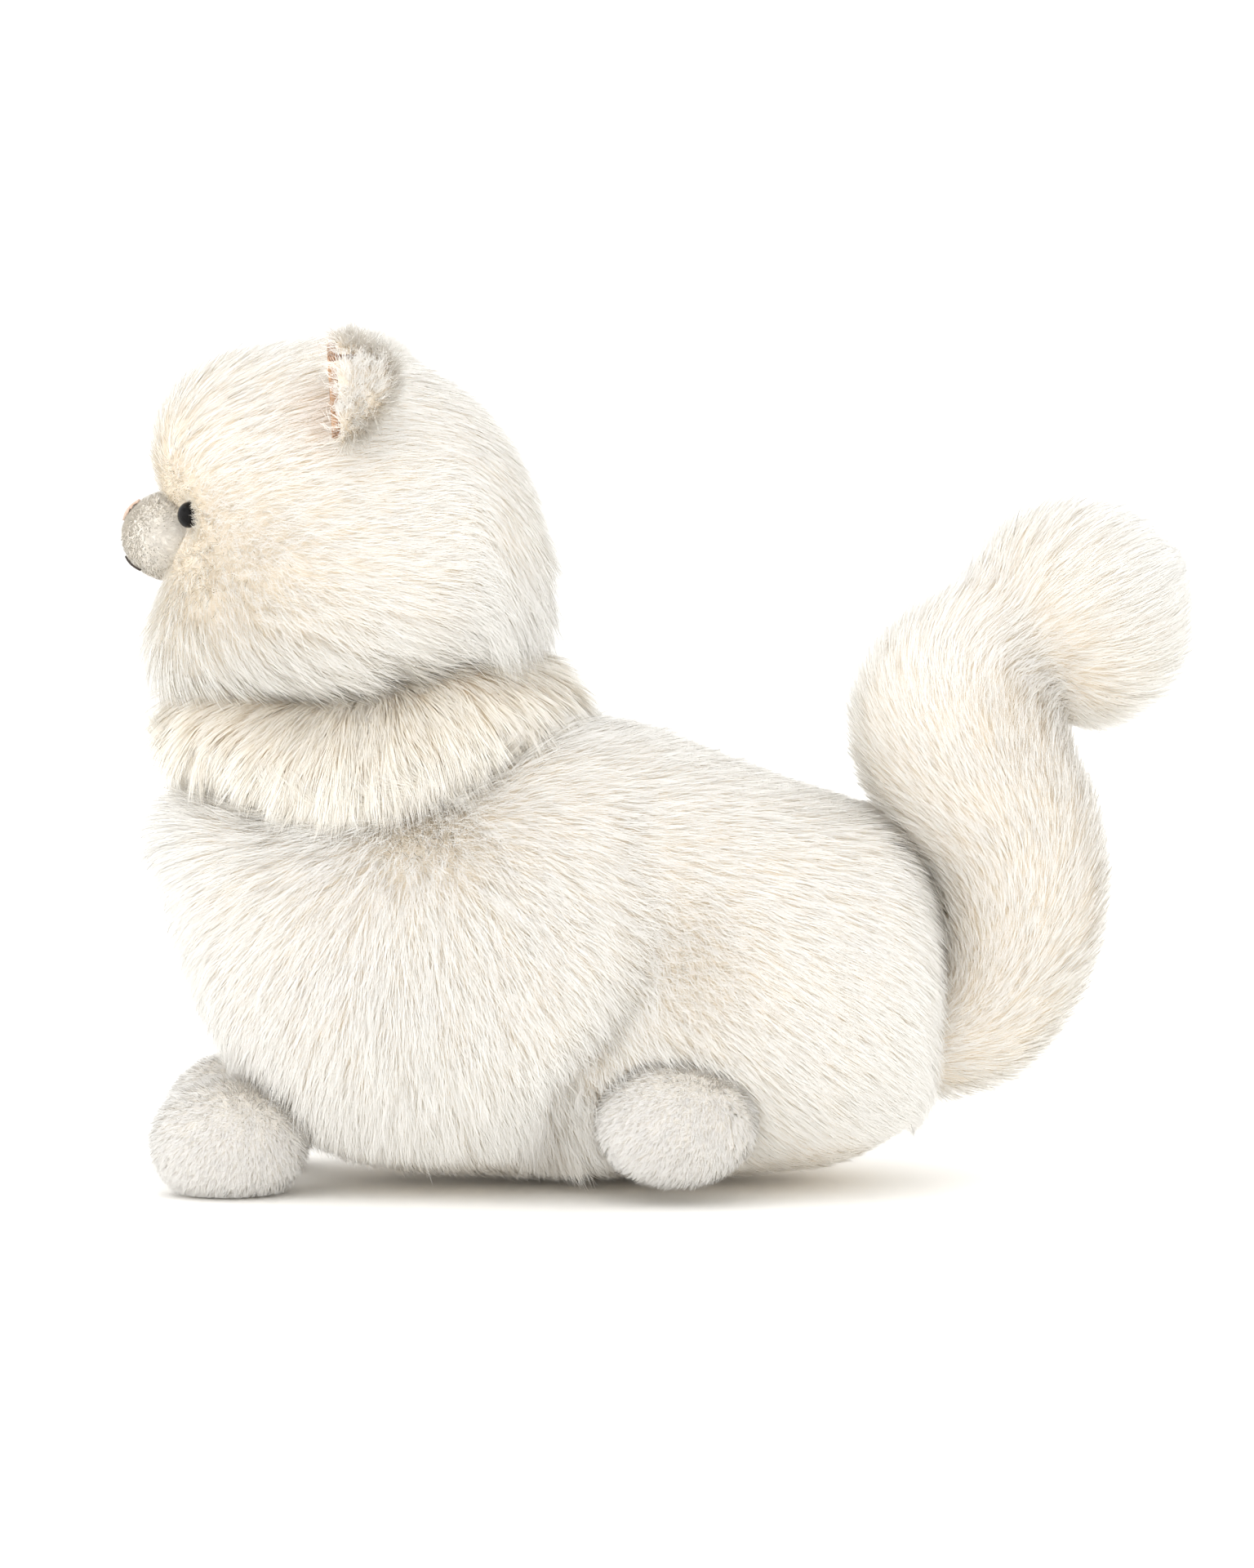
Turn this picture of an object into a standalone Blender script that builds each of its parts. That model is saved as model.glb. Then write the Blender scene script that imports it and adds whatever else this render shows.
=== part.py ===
"""A stuffed long-haired cat, 300 mm from nose to tail, lying with its head up.

Metres, +Z up, the cat faces -Y.
"""

import math

import bmesh
import bpy
from mathutils import Matrix, Vector

MM = 0.001

# Cloth and gaps
FUR = 6.0  # thickness of a fur panel with its lying pile
PLUSH = 2.6  # thickness of the short-pile cloth on paws, muzzle and ears
GAP = 0.3  # between pieces that are sewn or pressed together
SEAM = 0.15  # half of the gap along a seam between two panels

# Body, as rings across it: place along Y, lowest, highest, half width
BODY_FRONT = (-136.0, 80.0)
BODY_REAR = (81.0, 52.0)
BODY_RINGS = (
    (-132.5, 62.0, 98.0, 21.0),
    (-126.0, 46.0, 105.0, 33.0),
    (-115.0, 28.0, 110.0, 43.0),
    (-99.0, 11.0, 114.0, 50.0),
    (-79.0, 1.5, 117.0, 54.0),
    (-54.0, -2.0, 121.0, 56.0),
    (-30.0, -2.0, 126.0, 56.0),
    (-8.0, -2.0, 126.5, 54.0),
    (12.0, -2.0, 121.0, 55.0),
    (32.0, -2.0, 114.0, 55.0),
    (50.0, 0.0, 107.0, 52.0),
    (63.0, 6.0, 102.0, 46.0),
    (72.0, 13.0, 94.0, 38.0),
    (78.0, 24.0, 83.0, 27.0),
)
BODY_POWER = 2.5
FLANK_SEAM_Y = -20.0  # where the seam between chest and haunch meets the floor
FLANK_SEAM_LEAN = 0.11  # how far it runs back for each millimetre up
BELLY_HALF = 33.0
BELLY_ENDS = (-94.0, 56.0)

# Head, in the same way
HEAD_FRONT = (-139.0, 190.0)
HEAD_REAR = (-30.0, 176.0)
HEAD_RINGS = (
    (-137.0, 171.0, 210.0, 23.0),
    (-132.5, 152.0, 222.0, 37.0),
    (-123.5, 140.0, 231.0, 48.0),
    (-109.0, 136.0, 235.0, 56.0),
    (-91.0, 135.0, 236.0, 60.0),
    (-73.0, 137.0, 232.0, 59.5),
    (-57.0, 143.0, 223.0, 54.0),
    (-45.0, 150.0, 211.0, 45.0),
    (-36.5, 159.0, 197.0, 32.0),
    (-31.5, 169.0, 185.0, 16.0),
)
HEAD_POWER = 2.35

# Neck: a ball that head and body both sit against
NECK = (0.0, -78.0, 105.0)
NECK_R = 38.0
NECK_FLOOR = 88.0
NECK_CLOTH = 2.5
SWING = 0.9  # clearance where one piece turns against another

# Ruff: a collar of long fur lying on the shoulders
RUFF_THICK = 7.0
RUFF_R = 60.0
RUFF_LEAN = 4.0  # degrees, forward
RUFF_HEM = -9.0  # below the neck centre, along the leaning axis

# Face
MUZZLE = (0.0, -133.9, 181.0)
MUZZLE_R = (18.5, 14.5, 12.5)
NOSE = (0.0, -147.4, 187.2)
NOSE_R = (4.6, 2.4, 2.9)
EYE = (22.0, -131.0, 187.6)
EYE_AIM = (0.50, -0.86, 0.06)
EYE_R = 3.7
EYE_DOME = 2.6
EYE_SHANK_R = 1.5
EYE_SHANK = 10.0
EYE_HOLLOW_R = 7.4
EYE_HOLLOW_OUT = 4.4  # the hollow in the fur is centred this far in front of the eye
WASHER_R = 5.5
WASHER_T = 1.4
WASHER_BACK = 7.2  # from the middle of the eye to the near face of the washer

# Ears
EAR = (51.3, -86.0, 218.9)
EAR_OUT = (0.74, 0.0, 0.673)
EAR_TURN = 4.0  # degrees that the opening faces outward
EAR_WIDE = 17.0
EAR_TALL = 21.5
EAR_DEEP = 14.5
EAR_SAG = 2.6  # how far the base follows the round of the head

# Paws and feet
PAW = (29.5, -118.0, 15.6)
PAW_R = (17.0, 21.0, 16.2)
FOOT = (48.0, 5.5, 22.4)
FOOT_R = (15.0, 21.5, 17.0)

# Bean bag in the belly
BEANS = (0.0, -12.0, 3.0)
BEANS_R = (30.0, 58.0, 15.0)

# Tail: centre line from its root to the end of the curl, with radii; it turns about an upright axis
TAIL_AXIS = (0.0, 99.0, 60.0)
TAIL_SWING = 20.0
TAIL_LINE = (
    (0.0, 90.0, 28.0, 8.0),
    (0.5, 97.0, 41.0, 14.0),
    (1.5, 100.0, 57.0, 19.5),
    (2.5, 100.5, 78.0, 23.5),
    (3.5, 98.0, 96.0, 25.0),
    (4.0, 91.0, 112.0, 27.0),
    (3.0, 84.5, 127.0, 28.0),
    (0.0, 86.0, 139.0, 24.5),
    (-4.0, 96.0, 147.5, 24.5),
    (-7.0, 107.0, 153.5, 27.0),
    (-8.0, 119.6, 158.5, 29.8),
)

for ob in list(bpy.data.objects):
    bpy.data.objects.remove(ob, do_unlink=True)

cat = bpy.data.collections.new("plush_cat")
bpy.context.scene.collection.children.link(cat)
bench = bpy.data.collections.new("cutters")
bpy.context.scene.collection.children.link(bench)


def keep(name, mesh):
    ob = bpy.data.objects.new(name, mesh)
    bench.objects.link(ob)
    ob.hide_render = True
    ob.display_type = "WIRE"
    return ob


def from_bmesh(name, bm):
    bmesh.ops.recalc_face_normals(bm, faces=bm.faces)
    if bm.calc_volume(signed=True) < 0:
        bmesh.ops.reverse_faces(bm, faces=bm.faces)
    mesh = bpy.data.meshes.new(name)
    bm.to_mesh(mesh)
    bm.free()
    return keep(name, mesh)


def settle(ob):
    """Swaps the object's mesh for what its modifiers make of it."""
    deps = bpy.context.evaluated_depsgraph_get()
    mesh = bpy.data.meshes.new_from_object(ob.evaluated_get(deps))
    ob.modifiers.clear()
    ob.data = mesh
    return ob


def combine(ob, other, how, spare=True):
    """Boolean of two solids. The second is used up unless it is spare for another cut."""
    m = ob.modifiers.new("cut", "BOOLEAN")
    m.operation = how
    m.solver = "EXACT"
    m.object = other
    settle(ob)
    if not spare:
        bpy.data.objects.remove(other, do_unlink=True)
    return ob


def copy_of(ob, name):
    return keep(name, ob.data.copy())


def ringed(name, front, rings, rear, power, grow, count):
    """A closed skin through rings, pointed at both ends, grown outward or inward."""
    bm = bmesh.new()
    loops = []
    mid = 0.5 * (front[0] + rear[0])
    half = 0.5 * (rear[0] - front[0])
    for y, low, high, wide in rings:
        y = mid + (y - mid) * (half + grow) / half
        rise = 0.5 * (high - low) + grow
        across = wide + grow
        loop = []
        for k in range(count):
            a = 2 * math.pi * (k + 0.5) / count
            c = math.cos(a)
            s = math.sin(a)
            x = across * math.copysign(abs(c) ** (2 / power), c)
            z = 0.5 * (low + high) + rise * math.copysign(abs(s) ** (2 / power), s)
            loop.append(bm.verts.new((x * MM, y * MM, z * MM)))
        loops.append(loop)
    first = bm.verts.new((0, (front[0] - grow) * MM, front[1] * MM))
    last = bm.verts.new((0, (rear[0] + grow) * MM, rear[1] * MM))
    for k in range(count):
        n = (k + 1) % count
        bm.faces.new((first, loops[0][k], loops[0][n]))
        bm.faces.new((last, loops[-1][n], loops[-1][k]))
        for a, b in zip(loops, loops[1:]):
            bm.faces.new((a[k], b[k], b[n], a[n]))
    return from_bmesh(name, bm)


def body_skin(name, grow, count=20):
    return ringed(name, BODY_FRONT, BODY_RINGS, BODY_REAR, BODY_POWER, grow, count)


def head_skin(name, grow, count=20):
    return ringed(name, HEAD_FRONT, HEAD_RINGS, HEAD_REAR, HEAD_POWER, grow, count)


def ball(name, centre, radii, around=16, rows=10):
    bm = bmesh.new()
    bmesh.ops.create_uvsphere(bm, u_segments=around, v_segments=rows, radius=1.0)
    size = Matrix.Diagonal((radii[0] * MM, radii[1] * MM, radii[2] * MM, 1))
    bm.transform(Matrix.Translation(Vector(centre) * MM) @ size)
    return from_bmesh(name, bm)


def box(name, low, high):
    bm = bmesh.new()
    bmesh.ops.create_cube(bm, size=1.0)
    size = Matrix.Diagonal(tuple((b - a) * MM for a, b in zip(low, high)) + (1,))
    middle = Vector([0.5 * (a + b) * MM for a, b in zip(low, high)])
    bm.transform(Matrix.Translation(middle) @ size)
    return from_bmesh(name, bm)


def rod(name, start, aim, radius, length, sides=16):
    """A cylinder that starts at a point and runs along a direction."""
    bm = bmesh.new()
    bmesh.ops.create_cone(
        bm,
        cap_ends=True,
        segments=sides,
        radius1=radius * MM,
        radius2=radius * MM,
        depth=length * MM,
    )
    aim = Vector(aim).normalized()
    turn = aim.to_track_quat("Z", "Y").to_matrix().to_4x4()
    middle = (Vector(start) + aim * (0.5 * length)) * MM
    bm.transform(Matrix.Translation(middle) @ turn)
    return from_bmesh(name, bm)


def flip_x(point, side):
    return (point[0] * side, point[1], point[2])


def tint(ob, colour, rough=0.9):
    mat = bpy.data.materials.new(ob.name)
    mat.use_nodes = True
    shader = mat.node_tree.nodes["Principled BSDF"]
    shader.inputs["Base Color"].default_value = (*colour, 1)
    shader.inputs["Roughness"].default_value = rough
    ob.data.materials.clear()
    ob.data.materials.append(mat)


def hand_in(ob, colour, origin=(0.0, 0.0, 0.0), rough=0.9):
    """Moves a finished piece into the cat's collection, with its origin where it turns."""
    bm = bmesh.new()
    bm.from_mesh(ob.data)
    bmesh.ops.remove_doubles(bm, verts=bm.verts, dist=0.02 * MM)
    bmesh.ops.dissolve_degenerate(bm, edges=bm.edges, dist=0.01 * MM)
    bmesh.ops.translate(bm, verts=bm.verts, vec=-Vector(origin) * MM)
    bm.to_mesh(ob.data)
    bm.free()
    ob.location = Vector(origin) * MM
    bench.objects.unlink(ob)
    cat.objects.link(ob)
    ob.hide_render = False
    ob.display_type = "TEXTURED"
    tint(ob, colour, rough)
    return ob


CREAM = (0.90, 0.86, 0.79)
WARM = (0.87, 0.81, 0.71)
WHITE = (0.92, 0.90, 0.86)
FILL = (0.93, 0.93, 0.92)
PEACH = (0.88, 0.66, 0.48)

# ---- Cutters that several pieces share
neck_room = ball("neck_room", NECK, (NECK_R + SWING,) * 3, 20, 12)
low_cut = box("low_cut", (-60, -140, 0), (60, 0, NECK_FLOOR - SWING))
combine(neck_room, low_cut, "DIFFERENCE", spare=False)
ground = box("ground", (-120, -220, -40), (120, 220, 0))


# ---- Tail
def tail_skin(name, grow, faces):
    """The swept tail: close-set balls along the centre line, fused into one skin."""
    bm = bmesh.new()
    for a, b in zip(TAIL_LINE, TAIL_LINE[1:]):
        for k in range(5):
            x, y, z, r = (p + (q - p) * k / 5 for p, q in zip(a, b))
            here = Matrix.Translation(Vector((x, y, z)) * MM)
            bmesh.ops.create_uvsphere(
                bm, u_segments=20, v_segments=14, radius=(r + grow) * MM, matrix=here
            )
    x, y, z, r = TAIL_LINE[-1]
    here = Matrix.Translation(Vector((x, y, z)) * MM)
    bmesh.ops.create_uvsphere(
        bm, u_segments=20, v_segments=14, radius=(r + grow) * MM, matrix=here
    )
    mesh = bpy.data.meshes.new(name)
    bm.to_mesh(mesh)
    bm.free()
    ob = keep(name, mesh)
    fuse = ob.modifiers.new("fuse", "REMESH")
    fuse.mode = "VOXEL"
    fuse.voxel_size = 2.5 * MM
    soften = ob.modifiers.new("soften", "SMOOTH")
    soften.factor = 0.5
    soften.iterations = 4
    settle(ob)
    thin = ob.modifiers.new("thin", "DECIMATE")
    thin.ratio = faces / (2 * len(ob.data.polygons))
    return settle(ob)


def swollen(ob, name, by):
    """A copy with every vertex moved out along its own normal."""
    other = copy_of(ob, name)
    places = [v.co + v.normal * by * MM for v in other.data.vertices]
    for v, place in zip(other.data.vertices, places):
        v.co = place
    return other


tail_outer = tail_skin("tail_outer", 0.0, 480)
tail_core = tail_skin("tail_stuffing", -FUR - GAP, 320)
tail_inner = swollen(tail_core, "tail_inner", GAP)
tail_shell = copy_of(tail_outer, "tail_shell")
combine(tail_shell, tail_inner, "DIFFERENCE", spare=False)
for side, word in ((1, "left"), (-1, "right")):
    panel = copy_of(tail_shell, f"tail_{word}_panel")
    low = (SEAM, 0, 0) if side > 0 else (-90, 0, 0)
    high = (90, 200, 240) if side > 0 else (-SEAM, 200, 240)
    combine(panel, box("half", low, high), "INTERSECT", spare=False)
    combine(tail_core, panel, "DIFFERENCE")
    hand_in(panel, CREAM, TAIL_AXIS)
bpy.data.objects.remove(tail_shell, do_unlink=True)
hand_in(tail_core, FILL, TAIL_AXIS)

# The room that the tail sweeps when it turns, cut out of the rump
bm = bmesh.new()
for step in (-1.0, -0.5, 0.0, 0.5, 1.0):
    piece = bmesh.new()
    piece.from_mesh(tail_outer.data)
    for v in piece.verts:
        v.co += v.normal * (SWING + 0.5) * MM
    axis = Vector(TAIL_AXIS) * MM
    turn = Matrix.Rotation(math.radians(step * TAIL_SWING), 4, "Z")
    piece.transform(Matrix.Translation(axis) @ turn @ Matrix.Translation(-axis))
    spare_mesh = bpy.data.meshes.new("spare")
    piece.to_mesh(spare_mesh)
    piece.free()
    bm.from_mesh(spare_mesh)
sweep_mesh = bpy.data.meshes.new("tail_sweep")
bm.to_mesh(sweep_mesh)
bm.free()
tail_sweep = keep("tail_sweep", sweep_mesh)
fuse = tail_sweep.modifiers.new("fuse", "REMESH")
fuse.mode = "VOXEL"
fuse.voxel_size = 2.0 * MM
settle(tail_sweep)
thin = tail_sweep.modifiers.new("thin", "DECIMATE")
thin.ratio = 520 / (2 * len(tail_sweep.data.polygons))
settle(tail_sweep)
bpy.data.objects.remove(tail_outer, do_unlink=True)

# ---- Body: four side panels and a belly panel round one filling
body_shell = body_skin("body_shell", 0.0)
combine(body_shell, body_skin("inside", -FUR, 16), "DIFFERENCE", spare=False)
for cutter in (neck_room, tail_sweep, ground):
    combine(body_shell, cutter, "DIFFERENCE")


def flank(name, side, front):
    """A block that takes one quarter of the body: left or right, before or behind the flank seam."""
    bm = bmesh.new()
    bmesh.ops.create_cube(bm, size=2.0)
    for v in bm.verts:
        near = 0.0 if v.co.x * side < 0 else 120.0
        up = -30.0 if v.co.z < 0 else 240.0
        seam = FLANK_SEAM_Y + FLANK_SEAM_LEAN * up
        far = v.co.y < 0 if front else v.co.y > 0
        end = -220.0 if front else 220.0
        along = end if far else seam + (-SEAM if front else SEAM)
        v.co = Vector((side * (near + SEAM), along, up)) * MM
    return from_bmesh(name, bm)


belly_room = box(
    "belly_room",
    (-BELLY_HALF - SEAM, BELLY_ENDS[0] - SEAM, -30),
    (BELLY_HALF + SEAM, BELLY_ENDS[1] + SEAM, 24),
)
for side, word in ((1, "left"), (-1, "right")):
    for front, where in ((True, "chest"), (False, "haunch")):
        panel = copy_of(body_shell, f"body_{word}_{where}_panel")
        combine(panel, flank("quarter", side, front), "INTERSECT", spare=False)
        combine(panel, belly_room, "DIFFERENCE")
        hand_in(panel, CREAM)
belly = copy_of(body_shell, "belly_panel")
belly_box = box(
    "belly_box",
    (-BELLY_HALF + SEAM, BELLY_ENDS[0] + SEAM, -30),
    (BELLY_HALF - SEAM, BELLY_ENDS[1] - SEAM, 24),
)
combine(belly, belly_box, "INTERSECT", spare=False)
hand_in(belly, WARM)
bpy.data.objects.remove(body_shell, do_unlink=True)

filling = body_skin("body_stuffing", -FUR - GAP, 16)
beans = copy_of(filling, "bean_bag")
combine(beans, ball("bag", BEANS, BEANS_R, 20, 12), "INTERSECT", spare=False)
roomy = tuple(r + GAP for r in BEANS_R)
combine(filling, ball("bag_room", BEANS, roomy, 20, 12), "DIFFERENCE", spare=False)
for cutter in (neck_room, tail_sweep):
    combine(filling, cutter, "DIFFERENCE")
hand_in(filling, FILL)
hand_in(beans, (0.80, 0.78, 0.74))

# ---- Ruff: two halves of a collar lying on the shoulders
collar = body_skin("collar", RUFF_THICK)
combine(collar, body_skin("under_collar", GAP), "DIFFERENCE", spare=False)
lean = Matrix.Rotation(math.radians(RUFF_LEAN), 4, "X")
reach = rod("reach", (0, 0, RUFF_HEM), (0, 0, 1), RUFF_R, 80, 28)
reach.data.transform(Matrix.Translation(Vector(NECK) * MM) @ lean)
combine(collar, reach, "INTERSECT", spare=False)
combine(collar, neck_room, "DIFFERENCE")
for side, word in ((1, "left"), (-1, "right")):
    half = copy_of(collar, f"ruff_{word}")
    low = (SEAM, -220, 0) if side > 0 else (-120, -220, 0)
    high = (120, 220, 240) if side > 0 else (-SEAM, 220, 240)
    combine(half, box("half", low, high), "INTERSECT", spare=False)
    hand_in(half, WARM)
bpy.data.objects.remove(collar, do_unlink=True)

# ---- Neck
cover = ball("neck_cover", NECK, (NECK_R,) * 3, 20, 12)
combine(cover, ball("inside", NECK, (NECK_R - NECK_CLOTH,) * 3, 16, 10), "DIFFERENCE", spare=False)
plug = ball("neck_stuffing", NECK, (NECK_R - NECK_CLOTH - GAP,) * 3, 16, 10)
under = box("under", (-60, -140, 0), (60, 0, NECK_FLOOR))
combine(cover, under, "DIFFERENCE")
combine(plug, under, "DIFFERENCE", spare=False)
hand_in(cover, WHITE, NECK)
hand_in(plug, FILL, NECK)

# ---- Head: two panels round one filling, with room for neck, eyes and washers
head_shell = head_skin("head_shell", 0.0)
combine(head_shell, head_skin("inside", -FUR, 16), "DIFFERENCE", spare=False)
head_fill = head_skin("head_stuffing", -FUR - GAP, 16)
combine(head_shell, neck_room, "DIFFERENCE")
combine(head_fill, neck_room, "DIFFERENCE")
for side, word in ((1, "left"), (-1, "right")):
    middle = Vector(flip_x(EYE, side))
    aim = Vector(flip_x(EYE_AIM, side)).normalized()
    eye = ball(f"eye_{word}", (0, 0, 0), (EYE_R, EYE_R, EYE_DOME), 14, 8)
    turn = aim.to_track_quat("Z", "Y").to_matrix().to_4x4()
    eye.data.transform(Matrix.Translation(middle * MM) @ turn)
    shank = rod("shank", middle, -aim, EYE_SHANK_R, EYE_SHANK, 12)
    combine(eye, shank, "UNION", spare=False)
    washer = rod(f"eye_washer_{word}", middle - aim * WASHER_BACK, -aim, WASHER_R, WASHER_T)
    bore = rod("bore", middle, -aim, EYE_SHANK_R + GAP, 30, 12)
    combine(washer, bore, "DIFFERENCE")
    combine(head_shell, bore, "DIFFERENCE", spare=False)
    hollow = ball("hollow", middle + aim * EYE_HOLLOW_OUT, (EYE_HOLLOW_R,) * 3)
    combine(head_shell, hollow, "DIFFERENCE")
    combine(head_fill, hollow, "DIFFERENCE", spare=False)
    seat_at = middle - aim * (WASHER_BACK - GAP)
    seat = rod("seat", seat_at, -aim, WASHER_R + GAP, WASHER_T + 2 * GAP)
    combine(head_shell, seat, "DIFFERENCE")
    combine(head_fill, seat, "DIFFERENCE", spare=False)
    end = rod("end", middle, -aim, EYE_SHANK_R + GAP, EYE_SHANK + GAP, 12)
    combine(head_fill, end, "DIFFERENCE", spare=False)
    hand_in(eye, (0.015, 0.012, 0.012), NECK, 0.08)
    hand_in(washer, (0.75, 0.75, 0.74), NECK, 0.5)
for side, word in ((1, "left"), (-1, "right")):
    panel = copy_of(head_shell, f"head_{word}_panel")
    low = (SEAM, -220, 0) if side > 0 else (-120, -220, 0)
    high = (120, 220, 260) if side > 0 else (-SEAM, 220, 260)
    combine(panel, box("half", low, high), "INTERSECT", spare=False)
    hand_in(panel, CREAM, NECK)
bpy.data.objects.remove(head_shell, do_unlink=True)
hand_in(head_fill, FILL, NECK)

# ---- Muzzle, nose and mouth
face = head_skin("face", GAP)
muzzle_in = tuple(r - PLUSH for r in MUZZLE_R)
muzzle_fill = tuple(r - PLUSH - GAP for r in MUZZLE_R)
snout = ball("muzzle_cover", MUZZLE, MUZZLE_R, 20, 12)
combine(snout, ball("inside", MUZZLE, muzzle_in, 16, 10), "DIFFERENCE", spare=False)
combine(snout, face, "DIFFERENCE")
wad = ball("muzzle_stuffing", MUZZLE, muzzle_fill, 16, 10)
combine(wad, face, "DIFFERENCE")
for side in (1, -1):
    middle = Vector(flip_x(EYE, side))
    clear = ball("clear", middle, (EYE_R + 0.8,) * 3)
    combine(snout, clear, "DIFFERENCE")
    combine(wad, clear, "DIFFERENCE", spare=False)
hand_in(snout, WHITE, NECK)
hand_in(wad, FILL, NECK)
bpy.data.objects.remove(face, do_unlink=True)

proud = tuple(r + 0.3 for r in MUZZLE_R)
nose = ball("nose_embroidery", NOSE, NOSE_R, 14, 8)
combine(nose, ball("proud", MUZZLE, proud, 20, 12), "DIFFERENCE", spare=False)
hand_in(nose, (0.78, 0.60, 0.50), NECK)

# The mouth is a thread that runs down from the nose and out to both sides
THREAD_R = 0.5
LIFT = 1.1
corners = ((-7.0, -8.6), (-4.6, -7.6), (-2.2, -6.6), (0.0, -5.4), (2.2, -6.6), (4.6, -7.6), (7.0, -8.6))
line = bpy.data.curves.new("mouth_line", "CURVE")
line.dimensions = "3D"
line.bevel_depth = THREAD_R * MM
line.bevel_resolution = 1
line.use_fill_caps = True
spline = line.splines.new("POLY")
spline.points.add(len(corners) - 1)
for point, (x, dz) in zip(spline.points, corners):
    rx, ry, rz = (r + LIFT for r in MUZZLE_R)
    y = MUZZLE[1] - ry * math.sqrt(1 - (x / rx) ** 2 - (dz / rz) ** 2)
    point.co = (x * MM, y * MM, (MUZZLE[2] + dz) * MM, 1)
thread = bpy.data.objects.new("mouth_thread", line)
bench.objects.link(thread)
deps = bpy.context.evaluated_depsgraph_get()
mouth = keep("mouth_stitch", bpy.data.meshes.new_from_object(thread.evaluated_get(deps)))
bpy.data.objects.remove(thread, do_unlink=True)
hand_in(mouth, (0.10, 0.07, 0.06), NECK)


# ---- Ears: a cupped back of fur and a thin lining in front of it
def ear_sheet(name, side, inset, thick):
    """A cupped petal, thickened toward the back of the head."""
    bm = bmesh.new()
    rows = []
    for j in range(8):
        t = j / 7
        wide = EAR_WIDE * math.sqrt(max(1 - t**2.6, 0.0)) * (0.74 + 0.26 * math.sin(math.pi * t))
        wide = max(wide - 0.6 * inset, 3.0)
        row = []
        for i in range(9):
            s = i / 4 - 1
            u = s * wide
            v = (EAR_TALL - 1.2 * inset) * t - EAR_SAG * s * s * (1 - t) + 0.5 * inset * (1 - t)
            cup = EAR_DEEP * (1 - s * s) * math.sin(math.pi * (0.14 + 0.56 * t)) * (1 - 0.45 * t**3)
            row.append(bm.verts.new((u * MM, (cup - inset) * MM, v * MM)))
        rows.append(row)
    for a, b in zip(rows, rows[1:]):
        for i in range(8):
            bm.faces.new((a[i], a[i + 1], b[i + 1], b[i]))
    ob = from_bmesh(name, bm)
    shell = ob.modifiers.new("cloth", "SOLIDIFY")
    shell.thickness = thick * MM
    shell.offset = 0.0
    shell.use_even_offset = True
    settle(ob)
    out = Vector(flip_x(EAR_OUT, side)).normalized()
    back = Vector((0, 1, 0))
    across = back.cross(out).normalized()
    frame = Matrix((across, back, out)).transposed().to_4x4()
    face_out = Matrix.Rotation(math.radians(EAR_TURN * side), 4, "Z")
    ob.data.transform(Matrix.Translation(Vector(flip_x(EAR, side)) * MM) @ frame @ face_out)
    return ob


for side, word in ((1, "left"), (-1, "right")):
    hand_in(ear_sheet(f"ear_{word}_back", side, 0.0, 2.8), CREAM, flip_x(EAR, side))
    hand_in(ear_sheet(f"ear_{word}_lining", side, 3.0, 1.2), PEACH, flip_x(EAR, side))


# ---- Paws and feet: stuffed ovals sewn against the body
body_room = body_skin("body_room", GAP)
for side, word in ((1, "left"), (-1, "right")):
    for name, at, size in (("front", PAW, PAW_R), ("hind", FOOT, FOOT_R)):
        at = flip_x(at, side)
        inner = tuple(r - PLUSH for r in size)
        core = tuple(r - PLUSH - GAP for r in size)
        noun = "paw" if name == "front" else "foot"
        skin = ball(f"{name}_{word}_{noun}_cover", at, size, 16, 10)
        combine(skin, ball("inside", at, inner, 12, 8), "DIFFERENCE", spare=False)
        fill = ball(f"{name}_{word}_{noun}_stuffing", at, core, 12, 8)
        for piece in (skin, fill):
            combine(piece, body_room, "DIFFERENCE")
        combine(skin, ground, "DIFFERENCE")
        hand_in(skin, WHITE)
        hand_in(fill, FILL)

for ob in list(bench.objects):
    bpy.data.objects.remove(ob, do_unlink=True)
bpy.data.collections.remove(bench)
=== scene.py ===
"""Looks of the stuffed cat.

Fur cloth with real strands, short-pile paws and muzzle, eyes, threads, fillings, and studio light.
"""

import math

import bmesh
import bpy
import numpy as np
from mathutils import Matrix, Vector, kdtree


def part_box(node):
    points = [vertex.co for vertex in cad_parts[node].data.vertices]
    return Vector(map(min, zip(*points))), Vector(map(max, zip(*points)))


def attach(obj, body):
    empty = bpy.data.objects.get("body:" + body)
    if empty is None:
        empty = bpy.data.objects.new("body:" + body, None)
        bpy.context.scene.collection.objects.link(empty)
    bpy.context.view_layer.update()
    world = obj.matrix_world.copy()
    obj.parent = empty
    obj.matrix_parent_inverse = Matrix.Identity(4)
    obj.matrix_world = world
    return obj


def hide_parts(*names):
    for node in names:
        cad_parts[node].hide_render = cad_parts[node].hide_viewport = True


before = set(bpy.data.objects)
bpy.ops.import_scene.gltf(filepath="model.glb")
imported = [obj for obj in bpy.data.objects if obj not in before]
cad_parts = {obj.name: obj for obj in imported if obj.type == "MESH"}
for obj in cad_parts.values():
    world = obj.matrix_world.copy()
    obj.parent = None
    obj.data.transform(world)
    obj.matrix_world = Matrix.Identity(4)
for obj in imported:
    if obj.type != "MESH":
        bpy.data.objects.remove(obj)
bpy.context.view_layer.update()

MM = 0.001
rng = np.random.default_rng(11)

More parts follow.
